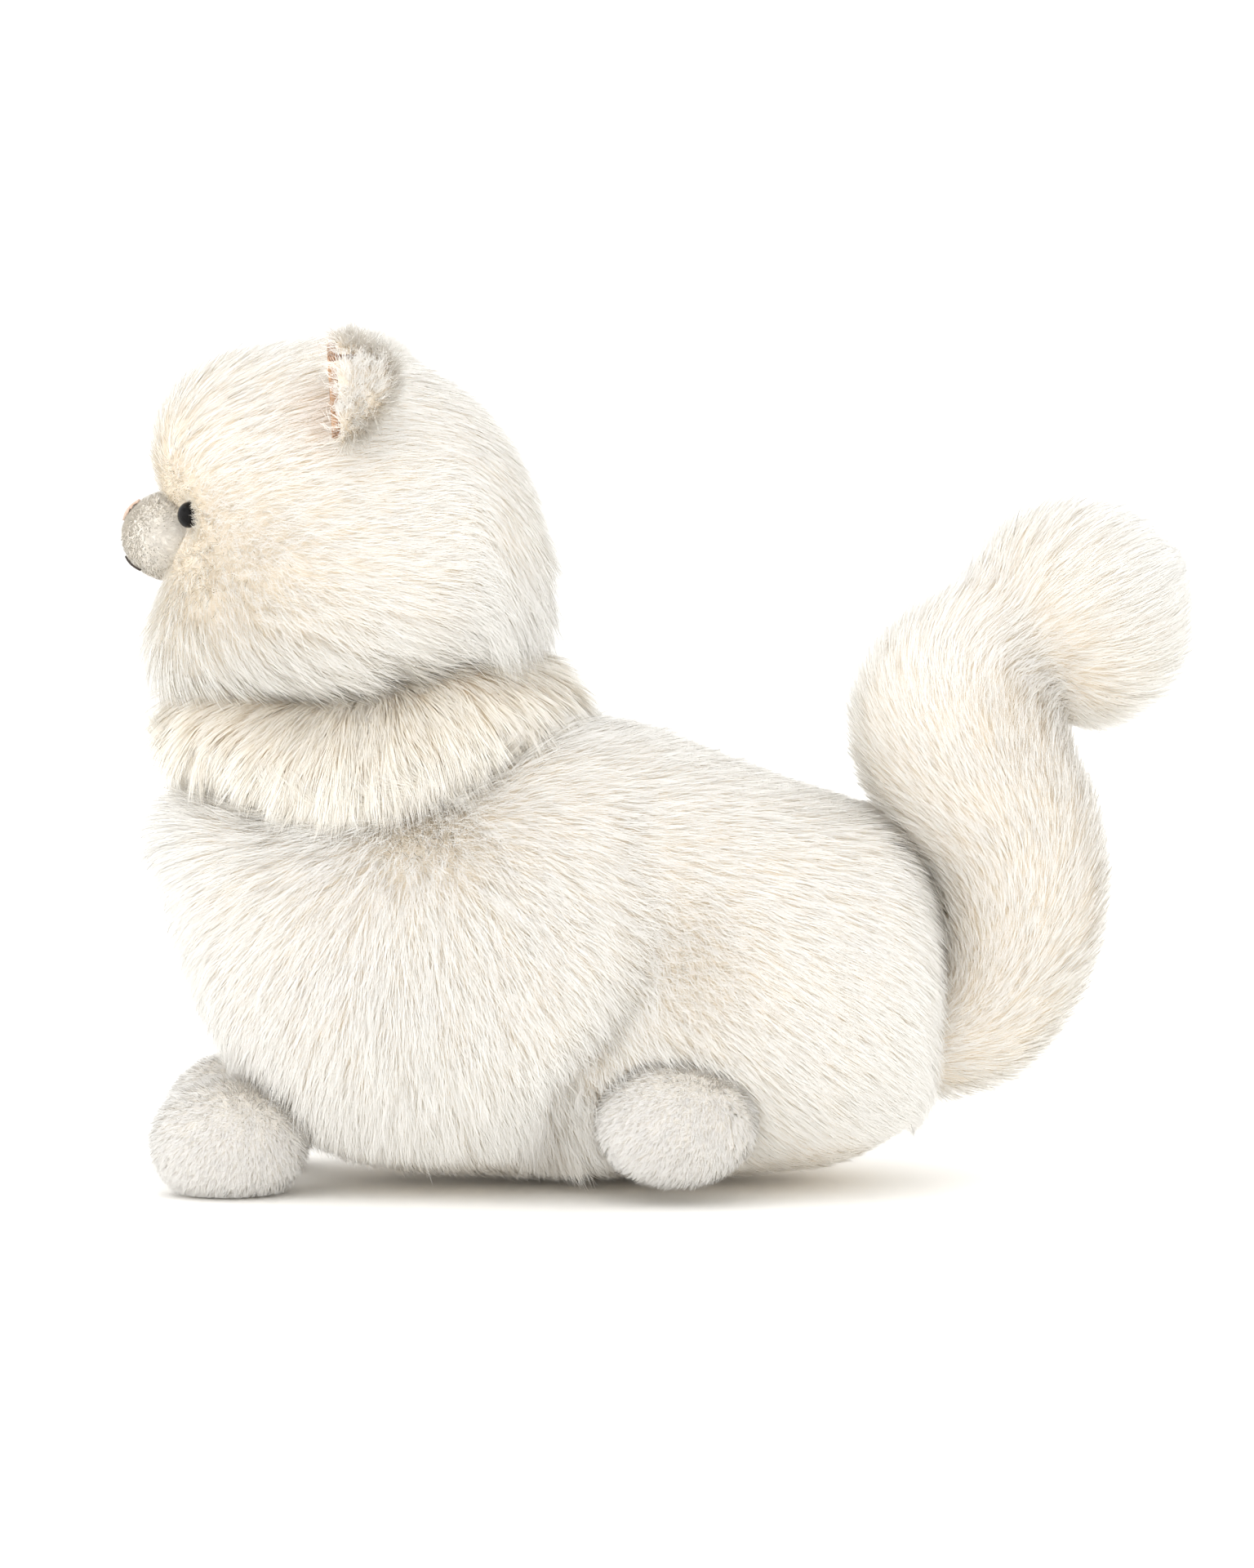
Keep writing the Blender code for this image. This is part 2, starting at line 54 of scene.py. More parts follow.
# ---- Shape of the cat under its fur, in millimetres
# Rings across the body and the head: place along Y, lowest, highest, half width
BODY_FRONT = (-136.0, 80.0)
BODY_REAR = (81.0, 52.0)
BODY_RINGS = (
    (-132.5, 62.0, 98.0, 21.0),
    (-126.0, 46.0, 105.0, 33.0),
    (-115.0, 28.0, 110.0, 43.0),
    (-99.0, 11.0, 114.0, 50.0),
    (-79.0, 3.0, 117.0, 54.0),
    (-54.0, 1.0, 121.0, 56.0),
    (-30.0, 0.0, 126.0, 56.0),
    (-8.0, 0.0, 127.5, 54.0),
    (12.0, 0.0, 121.5, 55.0),
    (32.0, 1.0, 114.5, 55.0),
    (50.0, 3.0, 108.5, 52.0),
    (63.0, 8.0, 104.0, 46.0),
    (72.0, 15.0, 95.0, 38.0),
    (78.0, 25.0, 83.0, 27.0),
)
BODY_POWER = 2.4
HEAD_FRONT = (-139.0, 190.0)
HEAD_REAR = (-30.0, 176.0)
HEAD_RINGS = (
    (-137.0, 171.0, 210.0, 23.0),
    (-132.5, 152.0, 222.0, 37.0),
    (-123.5, 140.0, 231.0, 48.0),
    (-109.0, 136.0, 235.0, 56.0),
    (-91.0, 135.0, 236.0, 60.0),
    (-73.0, 137.0, 232.0, 59.5),
    (-57.0, 143.0, 223.0, 54.0),
    (-45.0, 150.0, 211.0, 45.0),
    (-36.5, 159.0, 197.0, 32.0),
    (-31.5, 169.0, 185.0, 16.0),
)
HEAD_POWER = 2.3
CAP_STEPS = (0.12, 0.45)  # shares of an end ring in the two rings that close a skin
SUNK = 3.0  # the cloth lies this far inside the CAD panels, whose solids include the pile

NECK = np.array([0.0, -78.0, 105.0])
NECK_R = 38.0
FACE = np.array([0.0, -152.0, 181.0])  # where the head's fur parts from
SHOULDER = np.array([20.0, -66.0, 102.0])  # where the body's fur parts from, on each side

MUZZLE = np.array([0.0, -134.6, 181.0])
MUZZLE_R = np.array([18.0, 14.0, 12.2])
EYE = np.array([22.8, -128.8, 187.6])
EYE_AIM = np.array([0.5, -0.86, 0.06])
EYE_R = 3.6

PAW = np.array([29.5, -118.0, 14.8])
PAW_R = np.array([16.3, 20.6, 16.6])
FOOT = np.array([49.0, 5.5, 22.4])
FOOT_R = np.array([13.4, 20.8, 16.2])

EAR = np.array([51.3, -86.0, 218.9])
EAR_OUT = np.array([0.74, 0.0, 0.673])
EAR_WIDE = 17.0
EAR_TALL = 18.6
EAR_DEEP = 14.5
EAR_TURN = 4.0

RUFF = np.array([0.0, -78.5, 116.0])
RUFF_R = np.array([43.0, 55.0, 24.0])
RUFF_LOW = 99.0

# Seams: the belly panel's edges, and where the seam down the flank is on the floor and at the top of it
BELLY_HALF = 33.0
BELLY_HIGH = 20.0
BELLY_Y = (-94.0, 56.0)
SEAM_Z = (0, 120)
SEAM_Y = (-20, -7)

# Strands to the square millimetre
BODY_DENSITY = 2.2
HEAD_DENSITY = 1.96
TAIL_DENSITY = 2.1
RUFF_DENSITY = 3.4
PAW_DENSITY = 8.0
MUZZLE_DENSITY = 16.0
EAR_DENSITY = 7.0
LINING_DENSITY = 9.0

TAPER = 0.55  # how much of its width a strand loses on the way to its tip
TIPWARD = 0.15  # how far a strand's shading leans toward its tip

EYE_DEEP = 3.0
SHANK_R = 1.5
SHANK_LONG = 9.0
SHANK_BACK = 5
NOSE_WIDE = 3.4
NOSE_TOP = 190.4
NOSE_LOW = 185.0
STITCH = 0.42
THREAD = 0.32
MOUTH = ((0.0, 175.6), (2.2, 174.4), (4.6, 173.4), (7.0, 172.4))

# Light and camera, in metres and watts
SKY_POWER = 1.25
LIGHT_AIM = (0, 0, 0.1)
LIGHTS = (
    ("key", (1.5, -1.1, 0.9), (1.6, 1.6), 4.0),
    ("fill", (1.6, 0.9, 0.3), (1.5, 0.6), 4.0),
    ("far side", (-1.6, 0.2, 0.8), (1.6, 1.2), 6.0),
    ("top", (0.2, -0.6, 1.7), (1.4, 1.4), 8.0),
    ("front", (0.4, -1.8, 0.4), (1.4, 1.0), 3.0),
)
VIEW_WIDE = 1536 * 0.3 / 1313  # metres of the object's plane that the picture is wide
VIEW_TALL = VIEW_WIDE * 1920 / 1536
VIEW_AIM = Vector((0.0, -0.0081, 0.1115))
DISTANCE = 1.8
TILT = math.radians(4.5)
SENSOR = 36.0

SIDES = ((1, "left"), (-1, "right"))

TAIL_LINE = np.array(
    (
        (0.0, 79.0, 40.0, 17.0),
        (0.5, 89.5, 46.0, 19.5),
        (1.5, 98.0, 60.0, 22.0),
        (2.5, 101.5, 78.0, 24.5),
        (3.5, 99.0, 96.0, 26.0),
        (4.0, 90.5, 112.0, 28.0),
        (3.0, 84.0, 127.0, 29.5),
        (0.0, 85.0, 139.0, 25.0),
        (-4.0, 95.5, 146.5, 24.0),
        (-7.0, 106.5, 152.5, 26.5),
        (-8.0, 117.0, 158.0, 31.0),
    )
)


def mirrored(side):
    """What a place on the left is multiplied by, for the left (1) or the right (-1)."""
    return np.array([side, 1, 1])


def unit(v):
    return v / np.maximum(np.linalg.norm(v, axis=-1, keepdims=True), 1e-9)


def bump(x, middle, width):
    return np.exp(-(((x - middle) / width) ** 2))


def smooth(x, low, high):
    t = np.clip((x - low) / (high - low), 0, 1)
    return t * t * (3 - 2 * t)


def through(points, steps):
    """A smooth line through rows of numbers, steps to each span."""
    p = np.array(points, float)
    p = np.vstack([2 * p[0] - p[1], p, 2 * p[-1] - p[-2]])
    out = []
    for k in range(1, len(p) - 2):
        for s in range(steps):
            t = s / steps
            a, b, c, d = p[k - 1 : k + 3]
            spread = (c - a) * t + (2 * a - 5 * b + 4 * c - d) * t * t
            out.append(b + 0.5 * (spread + (3 * b - a - 3 * c + d) * t**3))
    out.append(p[-2])
    return np.array(out)


# ---- Skins: the cloth that the fur grows from
def cap(pole, ring, shares):
    """Rings that close a skin: its end ring drawn in toward the pole on a round."""
    tip = np.array((pole[0], pole[1], pole[1], 0.0))
    return [tip + (ring - tip) * np.array([s, s**0.5, s**0.5, s**0.5]) for s in shares]


def ringed(front, rings, rear, power, grow, count):
    """Points and faces of a closed skin through rings, pointed at both ends."""
    line = through(rings, 4)
    mid = 0.5 * (front[0] + rear[0])
    half = 0.5 * (rear[0] - front[0])
    line = np.vstack([cap(front, line[0], CAP_STEPS), line, cap(rear, line[-1], CAP_STEPS[::-1])])
    a = 2 * np.pi * (np.arange(count) + 0.5) / count
    c = np.sign(np.cos(a)) * np.abs(np.cos(a)) ** (2 / power)
    s = np.sign(np.sin(a)) * np.abs(np.sin(a)) ** (2 / power)
    points = [[0, front[0] - grow, front[1]]]
    for y, low, high, wide in line:
        place = mid + (y - mid) * (half + grow) / half
        rise = max(0.5 * (high - low) + grow, 0.4)
        across = max(wide + grow, 0.4)
        points += np.stack([across * c, np.full(count, place), 0.5 * (low + high) + rise * s], 1).tolist()
    points.append([0, rear[0] + grow, rear[1]])
    faces = []
    for k in range(count):
        n = (k + 1) % count
        faces.append((0, 1 + k, 1 + n))
        last = len(points) - 1
        base = 1 + (len(line) - 1) * count
        faces.append((last, base + n, base + k))
        for r in range(len(line) - 1):
            i = 1 + r * count
            j = i + count
            faces.append((i + k, j + k, j + n))
            faces.append((i + k, j + n, i + n))
    return np.array(points, float), np.array(faces)


def mesh_of(bm, name):
    """The mesh that a bmesh holds. The bmesh is freed."""
    mesh = bpy.data.meshes.new(name)
    bm.to_mesh(mesh)
    bm.free()
    return mesh


def rounded(mesh, material):
    """The mesh with its material and smooth shading."""
    mesh.materials.append(material)
    mesh.polygons.foreach_set("use_smooth", np.ones(len(mesh.polygons), bool))
    return mesh


def placed(name, data):
    """A new object in the scene."""
    ob = bpy.data.objects.new(name, data)
    bpy.context.scene.collection.objects.link(ob)
    return ob


def shown(name, mesh, body, nodes):
    """A visible piece that rides on its body and stands for CAD nodes."""
    ob = placed(name, mesh)
    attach(ob, body)
    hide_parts(*nodes)


def mesh_arrays(mesh):
    """Points in millimetres and triangles of a Blender mesh."""
    mesh.calc_loop_triangles()
    points = np.empty(len(mesh.vertices) * 3)
    mesh.vertices.foreach_get("co", points)
    tris = np.empty(len(mesh.loop_triangles) * 3, np.int32)
    mesh.loop_triangles.foreach_get("vertices", tris)
    return points.reshape(-1, 3) / MM, tris.reshape(-1, 3)


def fused(balls, voxel, rounds):
    """Overlapping balls (x, y, z, radius) made into one smooth skin."""
    bm = bmesh.new()
    for x, y, z, r in balls:
        here = Matrix.Translation(Vector((x, y, z)) * MM)
        bmesh.ops.create_uvsphere(bm, u_segments=28, v_segments=18, radius=r * MM, matrix=here)
    ob = placed("balls", mesh_of(bm, "balls"))
    fuse = ob.modifiers.new("fuse", "REMESH")
    fuse.mode = "VOXEL"
    fuse.voxel_size = voxel * MM
    soften = ob.modifiers.new("soften", "SMOOTH")
    soften.factor = 0.5
    soften.iterations = rounds
    done = ob.evaluated_get(bpy.context.evaluated_depsgraph_get()).to_mesh()
    arrays = mesh_arrays(done)
    ob.to_mesh_clear()
    bpy.data.objects.remove(ob, do_unlink=True)
    return arrays


def point_normals(points, tris):
    a, b, c = (points[tris[:, k]] for k in range(3))
    flat = np.cross(b - a, c - a)
    out = np.zeros_like(points)
    for k in range(3):
        np.add.at(out, tris[:, k], flat)
    out = unit(out)
    middle = points.mean(0)
    if ((points - middle) * out).sum() < 0:
        out = -out
    return out


def push(points, tris, depth):
    """Moves each point along its normal by depth(points), in millimetres."""
    return points + point_normals(points, tris) * depth(points)[:, None]


def body_form(p):
    """Folds and swellings of the body: the fold behind the chest, the haunch, and the round of the belly."""
    x, y, z = p.T
    side = np.abs(x)
    fold_y = np.interp(z, (8, 36, 46, 70, 100, 116), (-30, -24.5, -15, -4, -9, -6))
    deep = np.interp(z, (4, 20, 40, 62, 80, 98, 112), (3.0, 7.5, 8.0, 4.0, 1.2, 3.2, 1.5))
    flank = smooth(side, 18, 40)
    fold = -deep * bump(y, fold_y, 6.5) * flank
    lobe = 3.6 * bump(y, fold_y - 20, 17) * bump(z, 48, 30) * flank
    haunch = 3.2 * bump(y, 30, 26) * bump(z, 52, 30) * flank
    tuck = -3.5 * bump(y, 9, 26) * bump(z, 22, 17) * flank
    nape = 9.0 * bump(y, -33, 13) * smooth(z, 104, 120) * bump(side, 0, 34)
    breast = 6.0 * bump(z, 99, 10) * smooth(-y, 105, 125)
    return fold + lobe + haunch + tuck + nape + breast


def head_form(p):
    """Hollows for the eyes, full cheeks and a soft brow."""
    x, y, z = p.T
    side = np.abs(x)
    near_eye = np.exp(-(((side - 27) / 15) ** 2 + ((z - 187) / 8.5) ** 2))
    near_eye = near_eye * smooth(-y, 119.5, 129.5)
    cheek = 3.0 * bump(z, 163, 20) * bump(y, -112, 26) * smooth(side, 20, 45)
    brow = 5.0 * bump(z, 208, 17) * smooth(-y, 112, 130)
    chin = 12.0 * bump(z, 150, 17) * smooth(-y, 108, 132) * bump(side, 0, 38)
    nape = 5.0 * bump(y, -40, 15) * bump(z, 157, 14)
    nape += 2.2 * bump(y, -45, 20) * bump(z, 205, 28)
    jowl_gap = -3.5 * bump(y, -76, 4) * smooth(-z, -158, -146) * smooth(side, 12, 30)
    return -9.0 * near_eye + cheek + brow + chin + nape + jowl_gap


def oval(centre, radii, around=40, rows=24):
    """Points and triangles of an egg shape, in millimetres."""
    bm = bmesh.new()
    bmesh.ops.create_uvsphere(bm, u_segments=around, v_segments=rows, radius=MM)
    mesh = mesh_of(bm, "oval")
    points, tris = mesh_arrays(mesh)
    bpy.data.meshes.remove(mesh)
    return points * radii + centre, tris


# ---- Materials
def shader_of(name):
    mat = bpy.data.materials.new(name)
    mat.use_nodes = True
    return mat, mat.node_tree, mat.node_tree.nodes["Principled BSDF"]


def node(tree, kind, **values):
    made = tree.nodes.new(kind)
    for key, value in values.items():
        if key in made.inputs:
            made.inputs[key].default_value = value
        else:
            setattr(made, key, value)
    return made


def put(shader, values):
    for name, value in values.items():
        shader.inputs[name].default_value = value


def ramp(tree, source, stops):
    made = node(tree, "ShaderNodeValToRGB")
    made.color_ramp.interpolation = "EASE"
    while len(made.color_ramp.elements) < len(stops):
        made.color_ramp.elements.new(0.5)
    for element, (place, colour) in zip(made.color_ramp.elements, stops):
        element.position = place
        element.color = (*colour, 1)
    tree.links.new(source, made.inputs[0])
    return made


def fur_material(name, root, middle, tip, shade=0.035, fair=0.7):
    """Strands with painted shade, tan at the root, most of all where the fur is ruffled, in lighter and
    darker locks.

    fair is the share of the tip's colour that the root takes where the fur lies smooth.
    """
    mat, tree, shader = shader_of(name)
    join = tree.links.new
    along = node(tree, "ShaderNodeAttribute", attribute_name="along")
    lock = node(tree, "ShaderNodeAttribute", attribute_name="lock")
    where = node(tree, "ShaderNodeTexCoord")
    patch = node(tree, "ShaderNodeTexNoise", Scale=60.0, Detail=3.0)
    join(where.outputs["Object"], patch.inputs["Vector"])
    # The tan roots are painted shade: they stand for the golden shade down among the strands
    ruffled_shaded = ramp(tree, along.outputs["Fac"], ((0.0, root), (0.42, middle), (0.9, tip)))
    pale_root, pale_middle = (tuple(a + (b - a) * fair for a, b in zip(c, tip)) for c in (root, middle))
    sleek = ramp(tree, along.outputs["Fac"], ((0.0, pale_root), (0.42, pale_middle), (0.9, tip)))
    # painted_shade mixes the painted shade of the tan roots in, root by root
    painted_shade = node(tree, "ShaderNodeAttribute", attribute_name="painted_shade")
    colour = node(tree, "ShaderNodeMix", data_type="RGBA")
    join(painted_shade.outputs["Fac"], colour.inputs["Factor"])
    join(sleek.outputs["Color"], colour.inputs["A"])
    join(ruffled_shaded.outputs["Color"], colour.inputs["B"])
    wave = node(tree, "ShaderNodeMath", operation="MULTIPLY_ADD")
    wave.inputs[1].default_value = 0.5
    join(patch.outputs["Fac"], wave.inputs[0])
    join(lock.outputs["Fac"], wave.inputs[2])
    dim = node(tree, "ShaderNodeMapRange")
    put(dim, {"From Min": 0.0, "From Max": 1.5, "To Min": 1.0 - shade, "To Max": 1.0})
    join(wave.outputs[0], dim.inputs["Value"])
    mix = node(tree, "ShaderNodeVectorMath", operation="SCALE")
    join(colour.outputs["Result"], mix.inputs[0])
    join(dim.outputs["Result"], mix.inputs["Scale"])
    join(mix.outputs[0], shader.inputs["Base Color"])
    put(shader, {"Roughness": 0.85, "Specular IOR Level": 0.25, "Sheen Weight": 0.25, "Sheen Roughness": 0.5})
    return mat


def weave_material(name, light, dark, scale=900.0, rough=0.9):
    """Knitted or woven cloth: fine crossing waves with uneven tone."""
    mat, tree, shader = shader_of(name)
    join = tree.links.new
    where = node(tree, "ShaderNodeTexCoord")
    waves = []
    for turn in ("X", "Z"):
        wave = node(tree, "ShaderNodeTexWave", Scale=scale, Distortion=1.5)
        wave.bands_direction = turn
        join(where.outputs["Object"], wave.inputs["Vector"])
        waves.append(wave)
    both = node(tree, "ShaderNodeMath", operation="MULTIPLY")
    join(waves[0].outputs["Fac"], both.inputs[0])
    join(waves[1].outputs["Fac"], both.inputs[1])
    colour = ramp(tree, both.outputs[0], ((0.0, dark), (1.0, light)))
    join(colour.outputs["Color"], shader.inputs["Base Color"])
    relief = node(tree, "ShaderNodeBump", Strength=0.4, Distance=0.0002)
    join(both.outputs[0], relief.inputs["Height"])
    join(relief.outputs["Normal"], shader.inputs["Normal"])
    shader.inputs["Roughness"].default_value = rough
    return mat


def gloss_material(name, colour, rough, ior=1.45):
    """Moulded plastic with a faint unevenness in its polish."""
    mat, tree, shader = shader_of(name)
    join = tree.links.new
    where = node(tree, "ShaderNodeTexCoord")
    cloud = node(tree, "ShaderNodeTexNoise", Scale=400.0, Detail=2.0)
    join(where.outputs["Object"], cloud.inputs["Vector"])
    tone = ramp(tree, cloud.outputs["Fac"], ((0.3, colour), (0.7, tuple(c * 1.25 + 0.002 for c in colour))))
    join(tone.outputs["Color"], shader.inputs["Base Color"])
    put(shader, {"Roughness": rough, "IOR": ior, "Coat Weight": 0.0, "Coat Roughness": 0.04})
    return mat


# Root colours are painted shade: the tan at each fur's root stands for the golden shade deep in the pile
LONG_FUR = fur_material("long fur", (0.88, 0.78, 0.61), (0.935, 0.908, 0.85), (0.955, 0.945, 0.915))
WARM_FUR = fur_material("warm fur", (0.87, 0.75, 0.57), (0.93, 0.89, 0.82), (0.95, 0.93, 0.885))
# The ruff keeps more of its painted root shade where it lies smooth
RUFF_FUR = fur_material("ruff fur", (0.90, 0.76, 0.54), (0.94, 0.89, 0.79), (0.945, 0.922, 0.87), fair=0.5)
TAIL_FUR = fur_material("tail fur", (0.91, 0.79, 0.60), (0.94, 0.902, 0.83), (0.95, 0.94, 0.908))
SHORT_PILE = fur_material(
    "short pile", (0.89, 0.83, 0.74), (0.935, 0.91, 0.87), (0.955, 0.945, 0.92), shade=0.04
)
MUZZLE_PILE = fur_material(
    "muzzle pile", (0.905, 0.86, 0.79), (0.92, 0.88, 0.815), (0.93, 0.895, 0.835), shade=0.02
)
EAR_FUR = fur_material("ear fur", (0.89, 0.80, 0.66), (0.935, 0.90, 0.84), (0.955, 0.94, 0.90))
# The lining's dark orange-brown root is painted shade inside the ear's slit
PEACH = fur_material(
    "ear lining pile", (0.66, 0.36, 0.17), (0.82, 0.55, 0.34), (0.91, 0.72, 0.53), shade=0.12, fair=0.3
)
# The backing's tan is partly painted shade: it shows in the gaps between locks and makes them golden
BACKING = weave_material("knitted backing", (0.93, 0.87, 0.76), (0.90, 0.81, 0.68))
PILE_BACKING = weave_material("short pile backing", (0.925, 0.89, 0.83), (0.90, 0.86, 0.79))
PEACH_BACKING = weave_material("peach backing", (0.88, 0.68, 0.50), (0.82, 0.58, 0.40))
# The neck cloth's tan is painted golden shade for the gap under the head
NECK_CLOTH = weave_material("neck cloth", (0.93, 0.85, 0.70), (0.90, 0.79, 0.62))
FIBRE = weave_material("fibre filling", (0.95, 0.95, 0.94), (0.86, 0.86, 0.85), 250.0)
BEAN_CLOTH = weave_material("bean cloth", (0.82, 0.80, 0.75), (0.70, 0.68, 0.63), 700.0)
PINK_THREAD = weave_material("pink thread", (0.82, 0.66, 0.56), (0.66, 0.48, 0.38), 1500.0, 0.6)
DARK_THREAD = weave_material("dark thread", (0.10, 0.065, 0.05), (0.03, 0.02, 0.015), 1800.0, 0.7)
EYE_BLACK = gloss_material("eye black", (0.004, 0.0035, 0.0035), 0.14, ior=1.22)
WASHER_WHITE = gloss_material("washer plastic", (0.62, 0.61, 0.59), 0.45)


# ---- Fur
def scatter(points, tris, density):
    """Roots spread evenly over a skin, density to the square millimetre, with their normals."""
    a, b, c = (points[tris[:, k]] for k in range(3))
    area = 0.5 * np.linalg.norm(np.cross(b - a, c - a), axis=1)
    count = int(density * area.sum())
    pick = rng.choice(len(tris), count, p=area / area.sum())
    u, v = rng.random(count), rng.random(count)
    over = u + v > 1
    u[over], v[over] = 1 - u[over], 1 - v[over]
    w = np.stack([1 - u - v, u, v], 1)[:, :, None]
    normals = point_normals(points, tris)
    corner = tris[pick]
    return (points[corner] * w).sum(1), unit((normals[corner] * w).sum(1))


def nearest(places, centres):
    tree = kdtree.KDTree(len(centres))
    for i, c in enumerate(centres):
        tree.insert(c, i)
    tree.balance()
    return np.array([tree.find(p)[1] for p in places])


def swirl(p, size, seed):
    """A smooth uneven field from -1 to 1 over points, with swells about size millimetres across."""
    k = 3.1 / size
    a = p[:, 0] * k + 1.3 * np.sin(p[:, 2] * k * 0.7 + seed)
    b = p[:, 1] * k + 1.3 * np.sin(p[:, 0] * k * 0.8 + 2 * seed)
    c = p[:, 2] * k + 1.3 * np.sin(p[:, 1] * k * 0.9 + 3 * seed)
    return (np.sin(a + seed) * np.sin(b + 1.7 * seed) + np.sin(b - c) * np.sin(c + seed)) / 1.6


def strands(root, normal, flow, length, lift, settle, style, tousle=1.0):
    """Curved tapering strands gathered into locks.

    lift and settle are the angles in degrees from the cloth at root and tip. tousle scales the disorder,
    root by root. style holds:
      lock, the roots to a lock; pull, how far tips gather; reach, how far in millimetres a lock gathers;
      stray, the spread in degrees of locks; fray, that of single strands; curl, the wave in degrees;
      swell and sway, the size of patches that lean together and how far they lean;
      wide, the width in millimetres; rows, how many spans a strand has.
    """
    n = len(root)
    centres = rng.choice(n, max(1, n // style["lock"]), replace=False)
    own = nearest(root.tolist(), root[centres].tolist())
    lock = centres[own]

    def turned(direction, axis, degrees):
        a = np.radians(degrees)[:, None]
        return direction * np.cos(a) + np.cross(axis, direction) * np.sin(a)

    tousle = np.broadcast_to(tousle, n)
    curly = np.clip(tousle - 0.6, 0, 2)
    swell = swirl(root[lock], style["swell"], 0.7), swirl(root[lock], style["swell"], 2.9)
    lock_turn = (rng.normal(0, style["stray"], n)[lock] + style["sway"] * swell[0]) * tousle
    lock_lift = (rng.normal(0, style["stray"] * 0.55, n)[lock] + 0.4 * style["sway"] * swell[1]) * tousle
    lock_long = np.clip(1 + rng.normal(0, 0.11, n)[lock] * tousle, 0.6, 1.3)
    bend = rng.normal(0, style["stray"] * 0.9, n)[lock] * tousle

    phase = rng.random(n) * 2 * np.pi

    def curve(start, outward, along, long, up, down, twist, sway):
        """Points along each strand from its root to its tip."""
        side = turned(along, outward, twist)
        at, places = start.copy(), [start.copy()]
        for k in range(style["rows"]):
            t = (k + 0.5) / style["rows"]
            angle = np.radians(up + (down - up) * t**0.8)[:, None]
            heading = turned(side, outward, sway * t + style["curl"] * curly * np.sin(7.5 * t + phase))
            at = at + (heading * np.cos(angle) + outward * np.sin(angle)) * (long / style["rows"])[:, None]
            places.append(at.copy())
        return np.array(places)

    fray = style["fray"]
    own_long = length * lock_long * np.clip(rng.normal(1, 0.10, n), 0.7, 1.25)
    single = curve(
        root,
        normal,
        flow,
        own_long,
        lift + lock_lift + rng.normal(0, fray, n),
        settle + lock_lift + rng.normal(0, fray, n),
        lock_turn + rng.normal(0, fray, n),
        bend + rng.normal(0, fray, n),
    )
    middle = curve(
        root[lock], normal[lock], flow[lock], length[lock] * lock_long, (lift + lock_lift)[lock],
        (settle + lock_lift)[lock], lock_turn, bend
    )
    t = np.linspace(0, 1, style["rows"] + 1)[:, None, None]
    pull = (style["pull"] * np.clip(rng.normal(1, 0.25, n), 0.2, 1.3))[None, :, None]
    gap = np.linalg.norm(root - root[lock], axis=1)[None, :, None]
    close = np.exp(-((gap / (2.5 * style["reach"])) ** 2))
    places = single + (middle - single) * np.clip(pull * close, 0, 0.95) * t**1.3
    return places, lock


def ribbons(places, normal, wide, flat=0.75):
    """Turns each line of places into a thin tapering ribbon.

    Returns points, quads, tip triangles, normals, the share along the strand, and the points to a strand.
    """
    rows, n, _ = places.shape
    ahead = unit(np.gradient(places, axis=0))
    across = unit(np.cross(ahead[0], normal))
    roll = rng.normal(0, 0.45, n)[:, None]
    points, faced = [], []
    for k in range(rows):
        level = unit(np.cross(ahead[k], normal) + 1e-6 * across)
        up = np.cross(level, ahead[k])
        side = level * np.cos(roll) + up * np.sin(roll)
        face = unit(np.cross(side, ahead[k]))
        face *= np.sign((face * normal).sum(1))[:, None] + 1e-9
        soft = unit(normal * flat + unit(face) * (1 - flat) + ahead[k] * TIPWARD)
        if k < rows - 1:
            edge = side * (0.5 * wide * (1.0 - TAPER * (k / (rows - 1))))[:, None]
            points += [places[k] - edge, places[k] + edge]
            faced += [soft, soft]
        else:
            points.append(places[k])
            faced.append(soft)
    stride = len(points)
    points = np.stack(points, 1).reshape(-1, 3)
    faced = np.stack(faced, 1).reshape(-1, 3)
    base = np.arange(n)[:, None] * stride
    quads = np.vstack([base + np.array([2 * k, 2 * k + 1, 2 * k + 3, 2 * k + 2]) for k in range(rows - 2)])
    last = 2 * (rows - 2)
    tips = base + np.array([last, last + 1, last + 2])
    share = np.tile(np.concatenate([np.repeat(np.arange(rows - 1) / (rows - 1), 2), [1.0]]), n)
    return points, quads, tips, faced, share, stride


def per_point(mesh, name, on_cloth, cloth_count, on_hair):
    """An attribute with one value all over the cloth, and its own value at each point of the strands."""
    values = np.concatenate([np.full(cloth_count, on_cloth), on_hair])
    mesh.attributes.new(name, "FLOAT", "POINT").data.foreach_set("value", values.astype(np.float32))


def texture_places(cloth_points, count, stride):
    """Texture place of each point. Each strand has its own small cell, so its colours fit in an image."""
    per_row = int(math.ceil(math.sqrt(count))) + 1
    cell = np.arange(count)
    cell_u = (cell % per_row)[:, None] / per_row
    cell_v = (cell // per_row)[:, None] / per_row
    rows = (stride + 1) // 2
    across = np.array([0.15, 0.85] * (rows - 1) + [0.5])
    upward = np.concatenate([np.repeat(np.arange(rows - 1) / (rows - 1), 2), [1.0]]) * 0.7 + 0.15
    hair_u = ((cell_u + across / per_row) * 0.96).ravel()
    hair_v = ((cell_v + upward / per_row) * 0.96).ravel()
    u = np.concatenate([0.985 + 0 * cloth_points[:, 0], hair_u])
    v = np.concatenate([0.5 + 0.4 * np.sin(cloth_points[:, 1] * 0.05), hair_v])
    return np.stack([u, v], 1)


